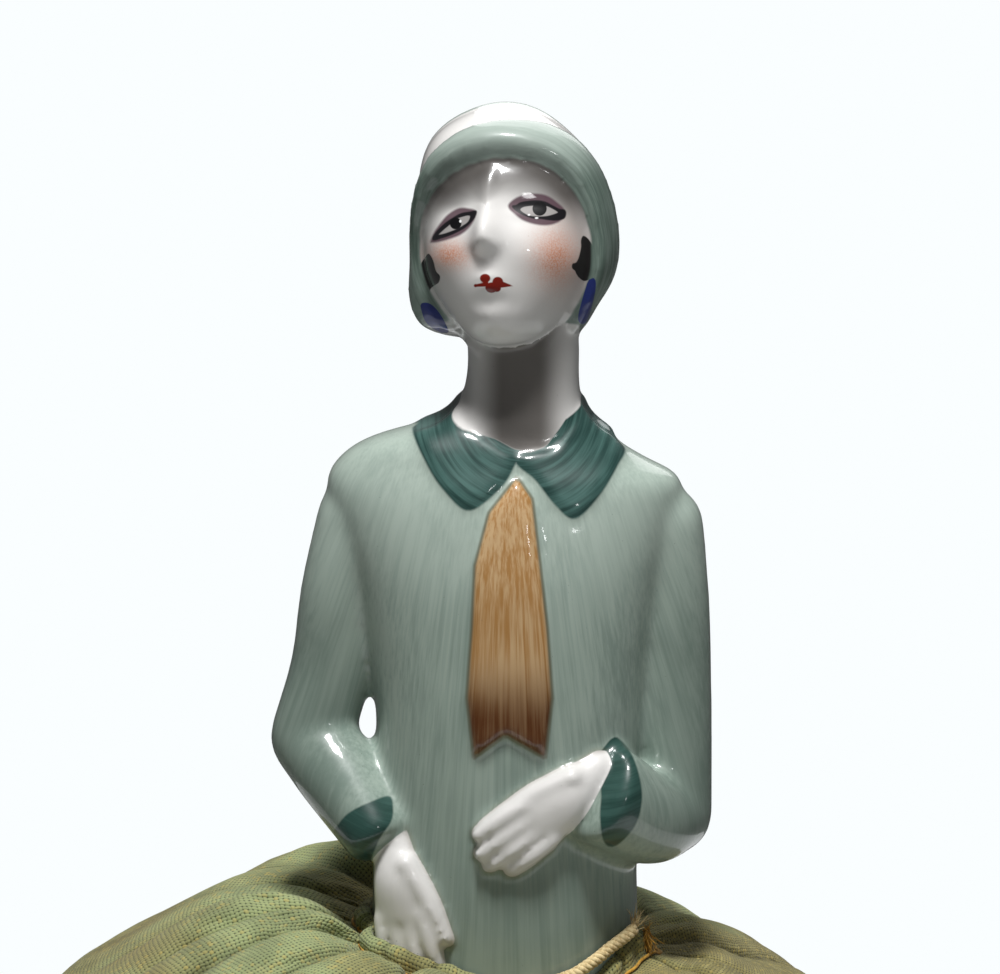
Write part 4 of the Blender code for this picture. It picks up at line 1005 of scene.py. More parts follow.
def clothes_paint(make, x, y, z, patches):
    """The jumper with its cuffs, collar and tie, with painted light and shade on the jumper and
    its sleeves. Returns the fine strokes as well.
    """
    middle = make.maths("SUBTRACT", x, DOLL_OFFSET)
    fan = make.maths("DIVIDE", middle, make.maths("SUBTRACT", STROKES_MEET, z))
    fine = make.noise(1.0, (150, 2300, 46), 3, 0.6, make.vector(fan, y, z))
    broad = make.noise(1.0, (46, 700, 22), 2, 0.5, make.vector(fan, y, z))
    wash = make.weighted((fine, 0.40), (broad, 0.25), (patches, 0.35))
    jumper = make.mix(make.ramp(wash, 0.36, 0.62), JUMPER_DARK, JUMPER)
    # Painted light: the jumper lighter towards the shoulders; painted shade: darker towards the waist
    jumper = make.mix(make.times(make.ramp(z, JUMPER_DIM, JUMPER_BRIGHT), 0.34), jumper, JUMPER_PAINTED_LIGHT)
    jumper = make.mix(make.times(make.ramp(z, JUMPER_DIM, WAIST_HEIGHT), 0.30), jumper, JUMPER_PAINTED_SHADE)
    # Painted shade on the sleeves: darker at the outer sides and further down
    sleeve = make.ramp(make.maths("ABSOLUTE", middle), SLEEVE_FROM, SLEEVE_TO)
    sleeve = make.times(sleeve, make.ramp(z, JUMPER_BRIGHT, JUMPER_DIM))
    colour = make.mix(make.times(sleeve, 0.42), jumper, SLEEVE_PAINTED_SHADE)
    across = make.maths("SUBTRACT", x, DOLL_OFFSET + NECK_LEAN)
    above = make.maths("SUBTRACT", z, STROKES_ROUND)
    ring = make.maths("SQRT", make.maths("ADD", make.times(across, across), make.times(above, above)))
    round_neck = make.noise(1.0, (1500, 90, 90), 3, 0.6, make.vector(ring, x, z))
    teal = make.ramp(make.weighted((round_neck, 0.6), (patches, 0.4)), 0.38, 0.62)
    teal = make.mix(teal, TEAL_DARK, TEAL)
    colour = make.mix(make.ramp(make.field("cuff"), -0.15, 0.15), colour, make.mix(0.6, teal, CUFF_DARK))
    colour = make.mix(make.ramp(make.field("collar"), -1.6, 1.6), colour, teal)
    tie_wash = make.weighted((fine, 0.55), (patches, 0.45))
    ochre = make.mix(make.ramp(tie_wash, 0.40, 0.58), TIE_OCHRE, TIE_PALE)
    uneven = make.maths("MULTIPLY_ADD", make.ramp(tie_wash, 0.7, 0.45), 0.26, 0.72)
    ochre = make.mix(make.times(make.ramp(z, TIE_HEAD, TIE_FOOT), uneven), ochre, TIE_DARK)
    tie = make.field("tie")
    colour = make.mix(make.times(make.ramp(tie, -3.5, -0.5), 0.7), colour, TIE_EDGE)
    return make.mix(make.ramp(tie, -0.8, 2.4), colour, ochre), fine


def skin_paint(make, colour, x, y, z):
    """Bare white porcelain, with painted shade beside the hat and under the chin."""
    skin = make.ramp(make.field("skin"), -0.12, 0.12)
    colour = make.mix(skin, colour, WHITE)
    neck = make.field("neck")
    # Painted shade on the skin beside the hat's edge, strongest on the brow
    brow = make.maths("MULTIPLY_ADD", make.ramp(z, BROW_LOW, BROW_HIGH), 0.64, 0.28)
    brow = make.times(make.ramp(make.field("hat"), -8.2, -1.2), brow)
    colour = make.mix(make.times(brow, make.ramp(neck, 0.5, 0.0)), colour, BROW_SHADE)
    # Painted shade on the middle of the throat, under the chin
    middle = make.maths("ABSOLUTE", make.maths("SUBTRACT", x, DOLL_OFFSET + NECK_MIDDLE))
    chin = make.times(make.ramp(middle, 6.0 * MM, 2.0 * MM), 0.84)
    chin = make.times(chin, make.ramp(y, -1.0 * MM, -3.0 * MM))
    throat = make.times(make.ramp(neck, 0.3, 0.8), make.ramp(z, THROAT, THROAT + 2 * MM))
    return make.mix(make.times(chin, make.times(throat, skin)), colour, CHIN_SHADE)


def face_paint(make, colour):
    dust = make.maths("MULTIPLY_ADD", make.ramp(make.noise(5200, (1, 1, 1), 2, 0.6), 0.35, 0.65), 0.45, 0.55)
    colour = make.mix(make.times(make.times(make.field("rouge"), dust), 0.9), colour, ROUGE)
    for name, low, high, strength, paint in FACE_PAINTS:
        depth = make.field(name)
        if name == "iris":
            depth = make.maths("MINIMUM", depth, make.field("lids"))
        colour = make.mix(make.times(make.ramp(depth, low, high), strength), colour, paint)
    return colour


def hat_paint(make, colour, x, z, patches):
    """The hat's green brim and crown with the white band between them, painted light towards
    the top of the hat, and the earrings.
    """
    inside = make.field("hat")
    strokes = make.noise(1.0, (1, 1, 1), 3, 0.6, make.vector(
        make.times(inside, 2.1), make.times(x, 110), make.times(z, 110)))
    hat = make.mix(make.ramp(make.weighted((strokes, 0.6), (patches, 0.4)), 0.38, 0.62), HAT_DARK, HAT)
    # Painted light: the hat lighter towards its top
    hat = make.mix(make.times(make.ramp(z, HAT_TOP_LOW, HAT_TOP_HIGH), 0.6), hat, HAT_PAINTED_LIGHT)
    beyond = make.maths("SUBTRACT", inside, make.field("brim"))
    band = HAT_BAND / MM
    colour = make.mix(make.ramp(inside, -0.3, 0.0), colour, hat)
    colour = make.mix(make.ramp(beyond, -0.1, 0.1), colour, WHITE)
    colour = make.mix(make.ramp(beyond, band - 0.1, band + 0.1), colour, hat)
    return make.mix(make.ramp(make.field("earring"), -0.5, 0.5), colour, EARRING)


def porcelain_material():
    make = Nodes("painted_porcelain")
    place = make.add("ShaderNodeSeparateXYZ")
    make.feed(place.inputs[0], make.add("ShaderNodeTexCoord").outputs["Object"])
    x, y, z = place.outputs
    patches = make.noise(95, (1, 1, 0.7), 3, 0.5)
    colour, fine = clothes_paint(make, x, y, z, patches)
    colour = skin_paint(make, colour, x, y, z)
    # Painted shade, brownish, in the crease where the hands meet the body
    colour = make.mix(make.times(make.field("crease"), 0.4), colour, CREASE_SHADE)
    speck = make.noise(2600, (1, 1, 1), 2, 0.5)
    colour = make.mix(make.times(make.ramp(speck, 0.75, 0.82), 0.6), colour, PIT)
    colour = face_paint(make, colour)
    colour = hat_paint(make, colour, x, z, patches)
    return make.finish(colour, make.bump(fine, 0.10, 0.04 * MM), Roughness=0.38, Coat_Weight=0.85,
                       Coat_Roughness=0.07, Coat_IOR=1.36, Specular_IOR_Level=0.3)


# The cushion

def waist_point(angle, offset, hand_room=0.0):
    """A point round the waist, offset from the porcelain, with room for the fingertips."""
    c, s = math.cos(angle), math.sin(angle)
    offset += hand_room * math.exp(-(((angle - HAND_ANGLE) / HAND_SPREAD) ** 2))
    fullness = 2 / BODY_FULLNESS
    x = math.copysign(abs(c) ** fullness, c) * (WAIST_WIDTH / 2 + offset)
    y = math.copysign(abs(s) ** fullness, s) * (WAIST_DEPTH / 2 + offset)
    return Vector((x + DOLL_OFFSET, y, 0))


def top_slope(point, weight):
    return weight * (FRONT_SLOPE * point.y - SIDE_SLOPE * point.x)


def front_fold(angle):
    """The cloth is fuller beside the hand that lies on the hip."""
    return FOLD_RISE * math.exp(-(((angle - FOLD_ANGLE) / FOLD_SPREAD) ** 2))


def neck_height(angle):
    """Height of the gathered neck: it dips in front."""
    front = max(math.cos(angle - DIP_ANGLE), 0)
    side = math.exp((math.cos(angle - RIGHT_ANGLE) - 1) / (1 - math.cos(RIGHT_SPREAD)))
    lift = RIGHT_LIFT * side - 0.5 * RIGHT_SAG * max(math.cos(angle - SAG_ANGLE), 0) ** 2
    return WAIST_HEIGHT - NECK_SINK - NECK_FRONT_SINK * front**2 + front_fold(angle) / 2 + lift


def rim_height(angle):
    middle = Vector((DOLL_OFFSET, 0, 0))
    return neck_height(angle) + top_slope(waist_point(angle, 0) - middle, 1)


def outer_point(angle, share):
    return Vector((CUSHION_WIDTH / 2 * math.cos(angle) * share,
                   CUSHION_DEPTH / 2 * math.sin(angle) * share, 0))


def top_point(angle, share):
    """A point of the smooth top of the cushion, from the neck (0) to its widest line (1)."""
    near = waist_point(angle, NECK_GAP, HAND_ROOM)
    point = near.lerp(outer_point(angle, 1), share)
    across = max((share - 0.1) / 0.9, 0)
    full = math.sqrt(max(1 - across**TOP_FULLNESS, 0))
    crest = CREST_RISE * math.exp(-(((share - 0.2) / 0.13) ** 2))
    dent = LEFT_DENT * math.exp(-(((share - 0.64) / 0.2) ** 2)) * max(-math.cos(angle), 0) ** 2
    top = WAIST_HEIGHT - TOP_SINK + front_fold(angle)
    sink = (1 - smooth_step(0, 0.12, share)) * (top - neck_height(angle) + CREST_RISE * 0.1)
    point.z = WIDEST_HEIGHT + (top - WIDEST_HEIGHT) * full + crest - sink - dent
    point.z += top_slope(point - Vector((DOLL_OFFSET * 0.5, 0, 0)), full)
    sag = smooth_step(0, 0.12, share) * (1 - smooth_step(0.2, 0.9, share))
    point.z -= RIGHT_SAG * sag * max(math.cos(angle - SAG_ANGLE), 0) ** 2
    return point


def side_point(angle, turn):
    """A point of the cushion's side, from its widest line down to the base."""
    base = BASE_WIDTH / CUSHION_WIDTH
    point = outer_point(angle, base + (1 - base) * math.cos(turn))
    point.z = HEM_LEVEL + (WIDEST_HEIGHT - HEM_LEVEL) * (1 - math.sin(turn))
    return point


def tube_point(angle, offset, height, hand_room):
    point = waist_point(angle, offset, hand_room)
    point.z = height
    return point


TOP_SHARES = [0, 0.05, 0.11, 0.18, 0.26, 0.35, 0.45, 0.55, 0.65, 0.75, 0.84, 0.92, 0.97, 1.0]
SIDE_TURNS = [14, 28, 44, 60, 76, 90]
RIM_ROWS = 7


def cover_path(angle):
    """The cloth's smooth way from under the waist, over the rim and down to the base."""
    low = WAIST_HEIGHT - FLANGE_DROP
    rim = rim_height(angle)
    close = CLEARANCE
    path = [
        tube_point(angle, FLARE + close, low, 0),
        tube_point(angle, FLARE + close, low + FLANGE_DROP * 0.27, 0),
        tube_point(angle, close + 0.1 * MM, low + FLANGE_DROP * 0.48, HAND_ROOM),
        tube_point(angle, close, rim, HAND_ROOM),
        tube_point(angle, close + 0.35 * MM, rim + FRILL_HEIGHT * 0.8, HAND_ROOM),
        tube_point(angle, NECK_GAP * 0.55, rim + FRILL_HEIGHT + 0.3 * MM, HAND_ROOM),
        tube_point(angle, NECK_GAP, rim + FRILL_HEIGHT * 0.8, HAND_ROOM),
    ]
    path += [top_point(angle, share) for share in TOP_SHARES]
    path += [side_point(angle, math.radians(turn)) for turn in SIDE_TURNS]
    hem = outer_point(angle, (BASE_WIDTH / 2 - BASE_HEM) / (CUSHION_WIDTH / 2))
    hem.z = HEM_LEVEL
    path.append(hem)
    return path


def gathers(columns, shares):
    """The folds of the gathered cloth: for each column and row, how far the cloth stands out,
    how far it leans over the next fold, the number of its fold, and how far up the fold it is."""
    random = np.random.default_rng(PLEAT_SEED)
    valleys = np.radians(FOLD_STARTS)
    count = len(valleys)
    sizes = random.uniform(0.5, 1.35, count)
    reaches = random.uniform(0.5, 1.2, count)
    leans = -np.cos(valleys) * random.uniform(0.6, 1.15, count)
    angles = np.arange(columns) * 2 * math.pi / columns
    turned = angles[:, None] + 0.05 * np.sin(3 * angles[:, None] + 5 * shares[None, :]) * shares
    turned = (turned - valleys[0]) % (2 * math.pi) + valleys[0]
    which = np.clip(np.searchsorted(valleys, turned.ravel(), side="right") - 1, 0, count - 1)
    which = which.reshape(turned.shape)
    ends = np.append(valleys[1:], valleys[0] + 2 * math.pi)
    across = np.clip((turned - valleys[which]) / (ends[which] - valleys[which]), 0, 1)
    ridge = np.sin(math.pi * across) ** 0.5
    fade = smooth_step(0, 0.14, shares) * 0.7 + 0.3
    fade = fade * (1 - smooth_step(0.35, 1.0, shares))
    reach = 1 - smooth_step(0.4, 1.0, shares[None, :] / reaches[which])
    height = PLEAT_DEPTH * fade * (sizes[which] * ridge * (0.4 + 0.6 * reach) - 0.55)
    height = height + PUCKER * np.sin(3 * math.pi * across) * np.exp(-((shares - 0.06) / 0.16) ** 2)
    lean = PLEAT_DEPTH * 0.75 * fade * leans[which] * ridge * reach
    return height, lean, which, ridge * reach + (1 - reach)


def hug(grid, figure):
    """Draws the rim of the cloth in until it lies against the porcelain and the hand."""
    shape = bmesh.new()
    shape.from_mesh(figure.data)
    tree = BVHTree.FromBMesh(shape)
    shape.free()
    rows = [8, 10, 12]
    columns = len(grid)
    gaps = np.full(columns, HUG_REACH)
    inward = np.zeros((columns, 3))
    for i in range(columns):
        way = Vector((DOLL_OFFSET - grid[i, 10, 0], -grid[i, 10, 1], 0)).normalized()
        inward[i] = way
        for row in rows:
            start = Vector(grid[i, row]) - way * 2 * HUG_REACH
            hit = tree.ray_cast(start, way)
            if hit[0]:
                gaps[i] = min(gaps[i], hit[3] - 2 * HUG_REACH - HUG_GAP)
    near = np.min([np.roll(gaps, turn) for turn in range(-2, 3)], axis=0)
    soft = np.mean([np.roll(near, turn) for turn in range(-2, 3)], axis=0)
    shift = np.clip(soft, -HUG_REACH, HUG_REACH)
    order = np.arange(grid.shape[1])
    weight = smooth_step(3, 7, order) * (1 - smooth_step(14, 30, order))
    return grid + inward[:, None, :] * (shift[:, None] * weight[None, :])[:, :, None]


def inflate(grid, pinned):
    """A short cloth simulation: the stuffing's pressure rounds the folds. The copy that it runs
    on is larger than life, because Blender's cloth is made for metres."""
    scale = CLOTH_SCALE
    rows = grid.shape[1]
    rings = [grid[:, i] * scale for i in range(rows)]
    bag = add_object("bag", mesh_of_rings("bag", rings, capped=False))
    start = coordinates(bag.data)
    group = bag.vertex_groups.new(name="held")
    columns = grid.shape[0]
    for row in np.flatnonzero(pinned):
        members = range(row * columns, (row + 1) * columns)
        group.add([int(m) for m in members], float(pinned[row]), "REPLACE")
    cloth = bag.modifiers.new("cloth", "CLOTH")
    for name, value in CLOTH_SETTINGS.items():
        setattr(cloth.settings, name, value)
    cloth.settings.vertex_group_mass = "held"
    cloth.settings.effector_weights.gravity = 0
    cloth.point_cache.frame_start = 1
    cloth.point_cache.frame_end = CLOTH_FRAMES
    scene = bpy.context.scene
    for step in range(1, CLOTH_FRAMES + 1):
        scene.frame_set(step)
    apply_modifiers(bag)
    moved = coordinates(bag.data) - start
    length = np.linalg.norm(moved, axis=1)
    cap = MOST_PUFF * scale
    moved *= (np.minimum(length, cap) / np.maximum(length, 1e-9))[:, None]
    scene.frame_set(1)
    bpy.data.objects.remove(bag)
    result = (start + moved) / scale
    return result.reshape(rows, columns, 3).transpose(1, 0, 2)


def grid_normals(grid):
    along = np.gradient(grid, axis=1)
    around = np.roll(grid, -1, axis=0) - np.roll(grid, 1, axis=0)
    normals = np.cross(along, around)
    return normals / np.linalg.norm(normals, axis=2)[:, :, None]


def ring_lengths(grid, which):
    """How far each column lies along its ring from the middle of its own fold, in millimetres.
    Each column has a value for the fold on its right, and one for the fold that it ends."""
    columns, rows = which.shape
    steps = np.linalg.norm(np.roll(grid, -1, axis=0) - grid, axis=2)
    total = np.cumsum(np.vstack([np.zeros((1, rows)), steps]), axis=0)
    start = np.zeros((columns, rows))
    end = np.zeros((columns, rows))
    for row in range(rows):
        ids = which[:, row]
        breaks = np.flatnonzero(ids != np.roll(ids, 1))
        for first, last in zip(breaks, np.append(breaks[1:], breaks[0] + columns)):
            run = np.arange(first, last + 1)
            lengths = np.where(run >= columns, total[columns, row] + total[run % columns, row],
                               total[np.minimum(run, columns), row])
            middle = (lengths[0] + lengths[-1]) / 2
            start[run[:-1] % columns, row] = lengths[:-1] - middle
            end[run[1:] % columns, row] = lengths[1:] - middle
    return start / MM, end / MM


def cushion_piece(figure):
    columns = CUSHION_COLUMNS
    angles = np.arange(columns) * 2 * math.pi / columns
    stations = np.array([[point for point in cover_path(angle)] for angle in angles])
    shares = np.concatenate([np.zeros(RIM_ROWS), TOP_SHARES, np.full(len(SIDE_TURNS) + 1, 1.0)])
    smooth = smooth_grid(stations.transpose(1, 0, 2), 2, False).transpose(1, 0, 2)
    shares = smooth_grid(shares[:, None], 2, False)[:, 0]
    smooth = hug(smooth, figure)
    height, lean, which, _ = gathers(columns, np.clip(shares, 0, 1))
    order = np.arange(smooth.shape[1])
    rim = np.clip((order - 2 * 3) / (2.0 * (RIM_ROWS - 3)), 0, 1)
    normals = grid_normals(smooth)
    around = np.roll(smooth, -1, axis=0) - np.roll(smooth, 1, axis=0)
    around /= np.linalg.norm(around, axis=2)[:, :, None]
    weight = rim[None, :, None]
    grid = smooth + (normals * height[:, :, None] + around * lean[:, :, None]) * weight
    pinned = np.where(order < 2 * RIM_ROWS, 1.0, 0.0)
    pinned[-8:] = 1.0
    grid = inflate(grid, pinned)
    fine = smooth_grid(grid, FINE_STEPS, True)
    fine = smooth_grid(fine.transpose(1, 0, 2), FINE_STEPS, False).transpose(1, 0, 2)
    fine_shares = smooth_grid(shares[:, None], FINE_STEPS, False)[:, 0]
    _, _, which, ridge = gathers(columns * FINE_STEPS, np.clip(fine_shares, 0, 1))
    base = smooth_grid(smooth.transpose(1, 0, 2), FINE_STEPS, False)
    path = np.linalg.norm(np.diff(base, axis=0), axis=2).mean(axis=1) / MM
    path = np.concatenate([[0], np.cumsum(path)])
    cushion = grid_piece("linen_cushion", fine, which, path)
    store(cushion.data, "ridge", ridge.ravel())
    cushion.data.materials.append(linen_material("green_linen_cloth"))
    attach(cushion, "root")
    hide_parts("cushion_cover")
    line = THREAD_ROW
    return fine[:, line] + grid_normals(fine)[:, line] * THREAD_LIFT


def grid_piece(name, grid, which, path):
    """A mesh of a grid of points, with the cloth's own measures, in millimetres, as its map."""
    columns, rows = which.shape
    start, end = ring_lengths(grid, which)
    index = np.arange(columns * rows).reshape(columns, rows)
    right = np.roll(index, -1, axis=0)
    faces = np.stack([index[:, :-1], right[:, :-1], right[:, 1:], index[:, 1:]], axis=-1)
    mesh = bpy.data.meshes.new(name)
    mesh.from_pydata(grid.reshape(-1, 3).tolist(), [], faces.reshape(-1, 4)[:, ::-1].tolist())
    follow = np.roll(end, -1, axis=0)
    threads = which * 7.0
    across = np.stack([start[:, :-1], follow[:, :-1], follow[:, 1:], start[:, 1:]], axis=-1)
    across = across + threads[:, :-1, None]
    down = np.broadcast_to(path, (columns, rows))
    along = np.stack([down[:, :-1], down[:, :-1], down[:, 1:], down[:, 1:]], axis=-1)
    values = np.stack([across, along], axis=-1)[:, :, ::-1].reshape(-1, 2)
    layer = mesh.uv_layers.new(name="cloth")
    layer.data.foreach_set("uv", values.ravel().astype(np.float32))
    mesh.shade_smooth()
    return add_object(name, mesh)


def weave(make, pitch):
    """Plain weave: threads one way and the other, each over and under the next. Returns the
    cloth's relief, which also sets how much of the dark gap between the threads shows, and the
    number of each thread."""
    where = make.add("ShaderNodeUVMap", uv_map="cloth").outputs["UV"]
    parts = make.add("ShaderNodeSeparateXYZ")
    make.feed(parts.inputs[0], where)
    wobble = make.noise(0.9, (1, 1, 1), 2, 0.5, where)
    wobble = make.times(make.maths("SUBTRACT", wobble, 0.5), 0.55)
    a = make.maths("ADD", make.maths("DIVIDE", parts.outputs[0], pitch), wobble)
    b = make.maths("SUBTRACT", make.maths("DIVIDE", parts.outputs[1], pitch), wobble)
    whole = [make.maths("FLOOR", value) for value in (a, b)]
    part = [make.maths("SUBTRACT", make.maths("FRACT", value), 0.5) for value in (a, b)]
    parity = make.maths("PINGPONG", make.maths("ADD", *whole), 1.0)
    parity = make.maths("SUBTRACT", make.times(parity, 2.0), 1.0)
    round_up = []
    for value in part:
        half = make.maths("DIVIDE", value, 0.44)
        inside = make.maths("SUBTRACT", 1.0, make.times(half, half))
        round_up.append(make.maths("SQRT", make.maths("MAXIMUM", inside, 0.0)))
    wave = [make.maths("COSINE", make.times(value, math.pi)) for value in part]
    first = make.times(wave[1], parity)
    second = make.times(wave[0], parity)
    over = make.times(round_up[0], make.maths("MULTIPLY_ADD", first, 0.35, 0.65))
    under = make.times(round_up[1], make.maths("MULTIPLY_ADD", second, -0.35, 0.65))
    return make.maths("MAXIMUM", over, under), whole


LINEN_OLIVE = rgb(120, 113, 70)
LINEN_OLIVE_PALE = rgb(142, 133, 86)
LINEN_GREEN = rgb(134, 143, 102)
LINEN_GREEN_PALE = rgb(156, 166, 118)
LINEN_KNOT = rgb(190, 168, 92)
LINEN_BRIGHT = rgb(186, 178, 120)
LINEN_HOLE = rgb(44, 54, 42)
# Painted shade for the valleys between the folds
LINEN_FOLD_SHADE = rgb(40, 38, 24)


def linen_material(name):
    make = Nodes(name)
    relief, whole = weave(make, WEAVE_PITCH)
    fade = make.noise(34, (1, 1, 1), 3, 0.5)
    patch = make.noise(150, (1, 1, 1), 3, 0.55)
    thread = make.add("ShaderNodeTexWhiteNoise", noise_dimensions="1D")
    make.feed(thread.inputs["W"], whole[1])
    cross = make.add("ShaderNodeTexWhiteNoise", noise_dimensions="1D")
    make.feed(cross.inputs["W"], whole[0])
    tone = make.maths("ADD", thread.outputs["Value"], cross.outputs["Value"])
    mottle = make.ramp(patch, 0.35, 0.65)
    olive = make.mix(mottle, LINEN_OLIVE, LINEN_OLIVE_PALE)
    pale = make.mix(mottle, LINEN_GREEN, LINEN_GREEN_PALE)
    colour = make.mix(make.ramp(fade, 0.40, 0.58), olive, pale)
    knot = make.add("ShaderNodeTexWhiteNoise", noise_dimensions="2D")
    make.feed(knot.inputs["Vector"], make.vector(whole[0], whole[1], 0.0))
    knot = make.ramp(knot.outputs["Value"], 0.80, 1.0)
    colour = make.mix(make.times(knot, 0.42), colour, LINEN_KNOT)
    colour = make.mix(make.times(make.ramp(tone, 1.2, 2.0), 0.35), colour, LINEN_BRIGHT)
    colour = make.mix(make.ramp(relief, 0.66, 0.14), colour, LINEN_HOLE)
    # Painted shade in the valleys between the folds
    deep = make.times(make.ramp(make.field("ridge"), 0.62, 0.05), 0.42)
    colour = make.mix(deep, colour, LINEN_FOLD_SHADE)
    return make.finish(colour, make.bump(relief, 0.9, 0.16 * MM), Roughness=0.95, Specular_IOR_Level=0.15,
                       Sheen_Weight=0.15)


def tube_mesh(name, points, radii, sides, closed=False):
    """A round tube along points, with rings that don't twist."""
    points = np.array(points, float)
    if closed:
        tangents = np.roll(points, -1, axis=0) - np.roll(points, 1, axis=0)
    else:
        tangents = np.gradient(points, axis=0)
    tangents /= np.linalg.norm(tangents, axis=1)[:, None]
    side = np.cross(tangents[0], (0, 0, 1.0))
    side /= np.linalg.norm(side)
    rings = []
    turns = np.arange(sides) * 2 * math.pi / sides
    for point, tangent, radius in zip(points, tangents, radii):
        side = side - tangent * (side @ tangent)
        side /= np.linalg.norm(side)
        other = np.cross(tangent, side)
        rings.append([point + (side * math.cos(a) + other * math.sin(a)) * radius for a in turns])
    return mesh_of_rings(name, rings, closed=closed)


def thread_material(name, light, dark, scale=2600, stretch=(1, 1, 0.3)):
    make = Nodes(name)
    fibre = make.noise(scale, stretch, 3, 0.6)
    broad = make.noise(300, (1, 1, 1), 2, 0.5)
    tone = make.maths("ADD", make.times(fibre, 0.6), make.times(broad, 0.4))
    colour = make.mix(make.ramp(tone, 0.36, 0.64), dark, light)
    return make.finish(colour, make.bump(fibre, 0.7, 0.08 * MM), Roughness=0.9, Specular_IOR_Level=0.2,
                       Sheen_Weight=0.2)


def plain_weave_material(name, light, dark, pitch=WEAVE_PITCH * MM):
    """Cloth for a flat piece: threads laid by the object's own coordinates."""
    make = Nodes(name)
    parts = make.add("ShaderNodeSeparateXYZ")
    make.feed(parts.inputs[0], make.add("ShaderNodeTexCoord").outputs["Object"])
    waves = []
    for axis in (0, 1):
        turn = make.times(parts.outputs[axis], math.pi / pitch)
        waves.append(make.maths("ABSOLUTE", make.maths("SINE", turn)))
    relief = make.maths("MAXIMUM", *waves)
    tone = make.noise(220, (1, 1, 1), 3, 0.6)
    colour = make.mix(make.ramp(tone, 0.35, 0.65), dark, light)
    colour = make.mix(make.ramp(relief, 0.75, 0.3), colour, rgb(44, 46, 32))
    return make.finish(colour, make.bump(relief, 0.8, 0.12 * MM), Roughness=0.95, Sheen_Weight=0.15)


def cord_path(samples):
    points = []
    angles, rises = CORD_RISE
    for share in np.linspace(0, 1, samples):
        turn = angles[0] + (angles[-1] - angles[0]) * share
        offset = CLEARANCE + TIE_CORD / 2 + 0.1 * MM + 0.7 * MM * smooth_step(0.8, 1, share)
        point = waist_point(math.radians(turn), offset, HAND_ROOM)
        point.z = WAIST_HEIGHT + np.interp(turn, angles, rises) * MM
        points.append(point)
    return np.array(points)


def fibres(root, aim, count, length, spread, radius, random):
    """A frayed end: thin fibres that leave a point and part as they go."""
    made = []
    aim = np.array(aim) / np.linalg.norm(aim)
    for _ in range(count):
        lean = random.normal(0, spread, 3)
        way = aim + lean
        way /= np.linalg.norm(way)
        reach = length * random.uniform(0.45, 1.1)
        curl = random.normal(0, 0.25, 3)
        start = np.array(root) + random.normal(0, 0.16 * MM, 3)
        steps = np.linspace(0, 1, 6)
        points = [start + way * reach * t + curl * reach * t**2 for t in steps]
        made.append(tube_mesh("fibre", points, radius * (1 - 0.7 * steps), 5))
    return made


def cord_piece():
    """Three twisted strands along the front of the waist, frayed at the right end."""
    path = cord_path(220)
    tangents = np.gradient(path, axis=0)
    tangents /= np.linalg.norm(tangents, axis=1)[:, None]
    side = np.cross(tangents, (0, 0, 1.0))
    side /= np.linalg.norm(side, axis=1)[:, None]
    other = np.cross(tangents, side)
    length = np.concatenate([[0], np.cumsum(np.linalg.norm(np.diff(path, axis=0), axis=1))])
    meshes = []
    radius = TIE_CORD / 2
    for strand in range(3):
        turn = (length / (1.9 * MM) + strand / 3) * 2 * math.pi
        offset = side * np.cos(turn)[:, None] + other * np.sin(turn)[:, None]
        points = path + offset * radius * 0.5
        meshes.append(tube_mesh("strand", points, np.full(len(points), radius * 0.56), 10))
    random = np.random.default_rng(4)
    tip = tangents[-1] + np.array((0.1, 0, 0.9))
    meshes += fibres(path[-3], tip, 64, 2.0 * MM, 0.30, 0.09 * MM, random)
    cord = add_object("twisted_cord", joined("twisted_cord", meshes))
    cord.data.shade_smooth()
    cord.data.materials.append(thread_material("beige_cotton", rgb(228, 208, 160), rgb(176, 148, 100)))
    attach(cord, "root")
    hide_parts("waist_cord")


def thread_piece(ring):
    """The ochre thread that lies in the crease of the gathers, with a tuft by the cord's end."""
    radius = GATHER_THREAD * 0.33
    meshes = [tube_mesh("loop", ring, [radius] * len(ring), 6, closed=True)]
    random = np.random.default_rng(9)
    start = np.array(ring[int(len(ring) * TUFT_ANGLE / 360)])
    root = np.array(waist_point(math.radians(TUFT_ANGLE), TUFT_AWAY))
    root[2] = WAIST_HEIGHT + TUFT_RISE
    bend = (start + root) / 2 + np.array((0.4, -0.4, 0.2)) * MM
    meshes.append(tube_mesh("tail", [start, bend, root], [radius] * 3, 6))
    meshes += fibres(root, (0.25, -0.4, -1.0), 34, 2.7 * MM, 0.2, 0.1 * MM, random)
    meshes += fibres(root, (0.1, -0.3, 1.0), 14, 1.1 * MM, 0.3, 0.09 * MM, random)
    thread = add_object("ochre_tuft", joined("ochre_tuft", meshes))
    thread.data.shade_smooth()
    thread.data.materials.append(thread_material("ochre_cotton", rgb(206, 158, 66), rgb(150, 110, 42)))
    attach(thread, "root")
    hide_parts("gathering_thread")


def dress_hidden_pieces():
    """Finishes for the CAD pieces that are kept: stuffing, card, base cloth and stitches."""
    wadding = thread_material("cotton_wadding", rgb(222, 216, 200), rgb(190, 182, 162), 500, (1, 1, 1))
    card = thread_material("grey_card", rgb(150, 142, 128), rgb(120, 112, 98), 900, (1, 1, 1))
    sewing = thread_material("sewing_thread", rgb(190, 184, 150), rgb(140, 132, 98))
    base = plain_weave_material("base_linen", rgb(128, 124, 82), rgb(98, 98, 62))
    looks = {"cushion_filling": wadding, "base_card": card, "base_cloth": base}
    looks.update({f"stitch_{i}": sewing for i in (1, 2, 3, 4)})
    for name, look in looks.items():
        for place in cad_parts[name].material_slots:
            place.link = "OBJECT"
            place.material = look
    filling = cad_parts["cushion_filling"]
    sunk = filling.modifiers.new("under_the_folds", "DISPLACE")
    sunk.mid_level = 0
    sunk.strength = -FILLING_SINK / filling.matrix_world.to_scale().x


# Light, floor and background

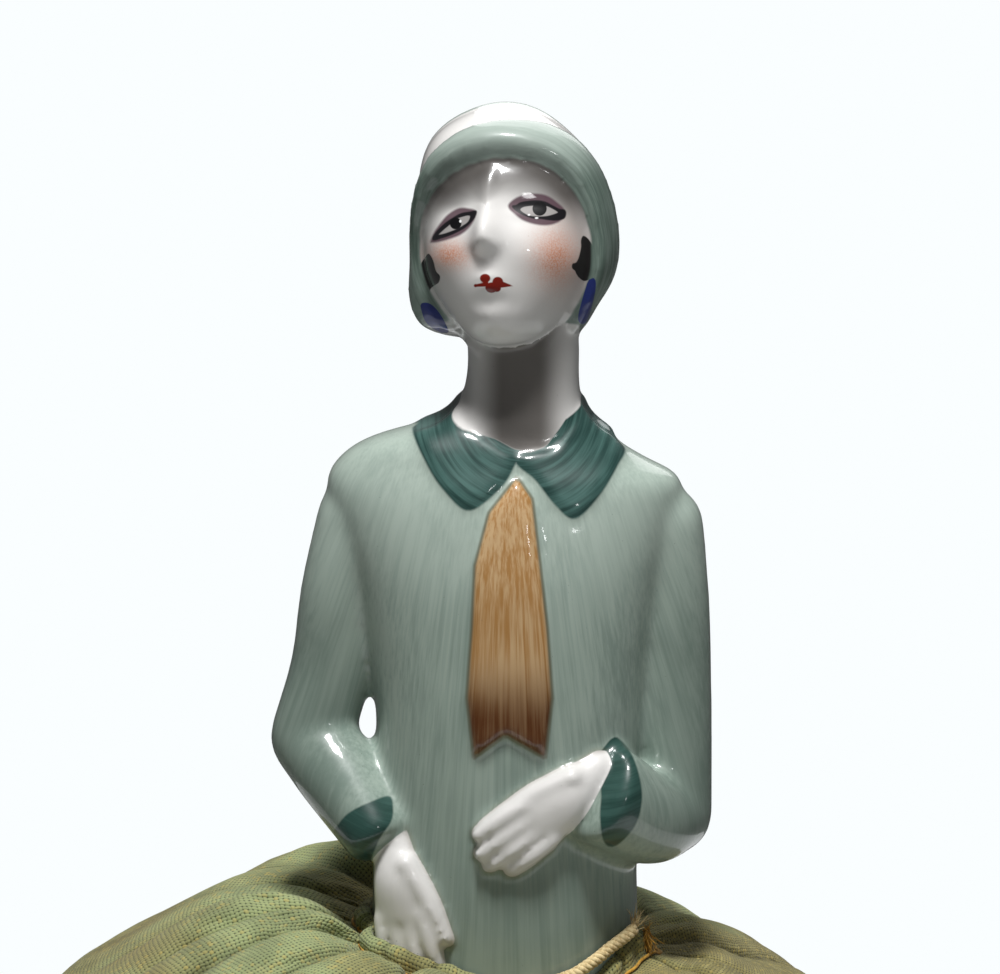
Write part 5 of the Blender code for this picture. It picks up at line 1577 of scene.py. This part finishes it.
# Each lamp: its name, where it stands from the face, its size and its power in watts
LAMPS = [
    ("soft_box", (-0.01, -0.23, 0.66), 0.13, 6.8),
    ("back_box", (0.10, 0.46, 0.36), 0.42, 0.9),
    ("glint_lamp", (0.22, -0.52, 0.16), 0.05, 0.22),
]


def add_lamp(name, place, target, size, energy):
    data = bpy.data.lights.new(name, "AREA")
    data.shape = "SQUARE"
    data.size = size
    data.energy = energy
    lamp = bpy.data.objects.new(name, data)
    bpy.context.scene.collection.objects.link(lamp)
    look_at(lamp, Vector(place), Vector(target))


def make_world():
    world = bpy.data.worlds.new("white_room")
    bpy.context.scene.world = world
    world.use_nodes = True
    tree = world.node_tree
    background = tree.nodes["Background"]
    background.inputs["Color"].default_value = (1, 1, 1, 1)
    background.inputs["Strength"].default_value = 0.075
    seen = tree.nodes.new("ShaderNodeBackground")
    seen.inputs["Color"].default_value = rgb(250, 254, 255)
    path = tree.nodes.new("ShaderNodeLightPath")
    mix = tree.nodes.new("ShaderNodeMixShader")
    tree.links.new(path.outputs["Is Camera Ray"], mix.inputs[0])
    tree.links.new(background.outputs[0], mix.inputs[1])
    tree.links.new(seen.outputs[0], mix.inputs[2])
    tree.links.new(mix.outputs[0], tree.nodes["World Output"].inputs["Surface"])


def make_lights():
    """A soft box above the front, a weaker one behind, and a small lamp for the glaze to catch."""
    face = Vector((DOLL_OFFSET, 0, WAIST_HEIGHT + 60 * MM))
    for name, away, size, watts in LAMPS:
        add_lamp(name, face + Vector(away), face, size, watts)


def make_floor():
    shape = bmesh.new()
    bmesh.ops.create_circle(shape, cap_ends=True, segments=128, radius=0.155)
    mesh = bpy.data.meshes.new("floor")
    shape.to_mesh(mesh)
    shape.free()
    make = Nodes("pale_floor")
    make.shader.inputs["Base Color"].default_value = rgb(244, 246, 247)
    make.shader.inputs["Roughness"].default_value = 0.9
    floor = add_object("floor", mesh, make.material)
    floor.location.z = -0.0002


def main():
    camera = make_camera()
    make_world()
    make_lights()
    make_floor()
    figure = sculpt_figure(camera)
    ring = cushion_piece(figure)
    cord_piece()
    thread_piece(ring)
    dress_hidden_pieces()
    figure.data.materials.clear()
    figure.data.materials.append(porcelain_material())
    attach(figure, "root")
    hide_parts("half_doll")
    bpy.context.scene.view_settings.view_transform = "Standard"


main()
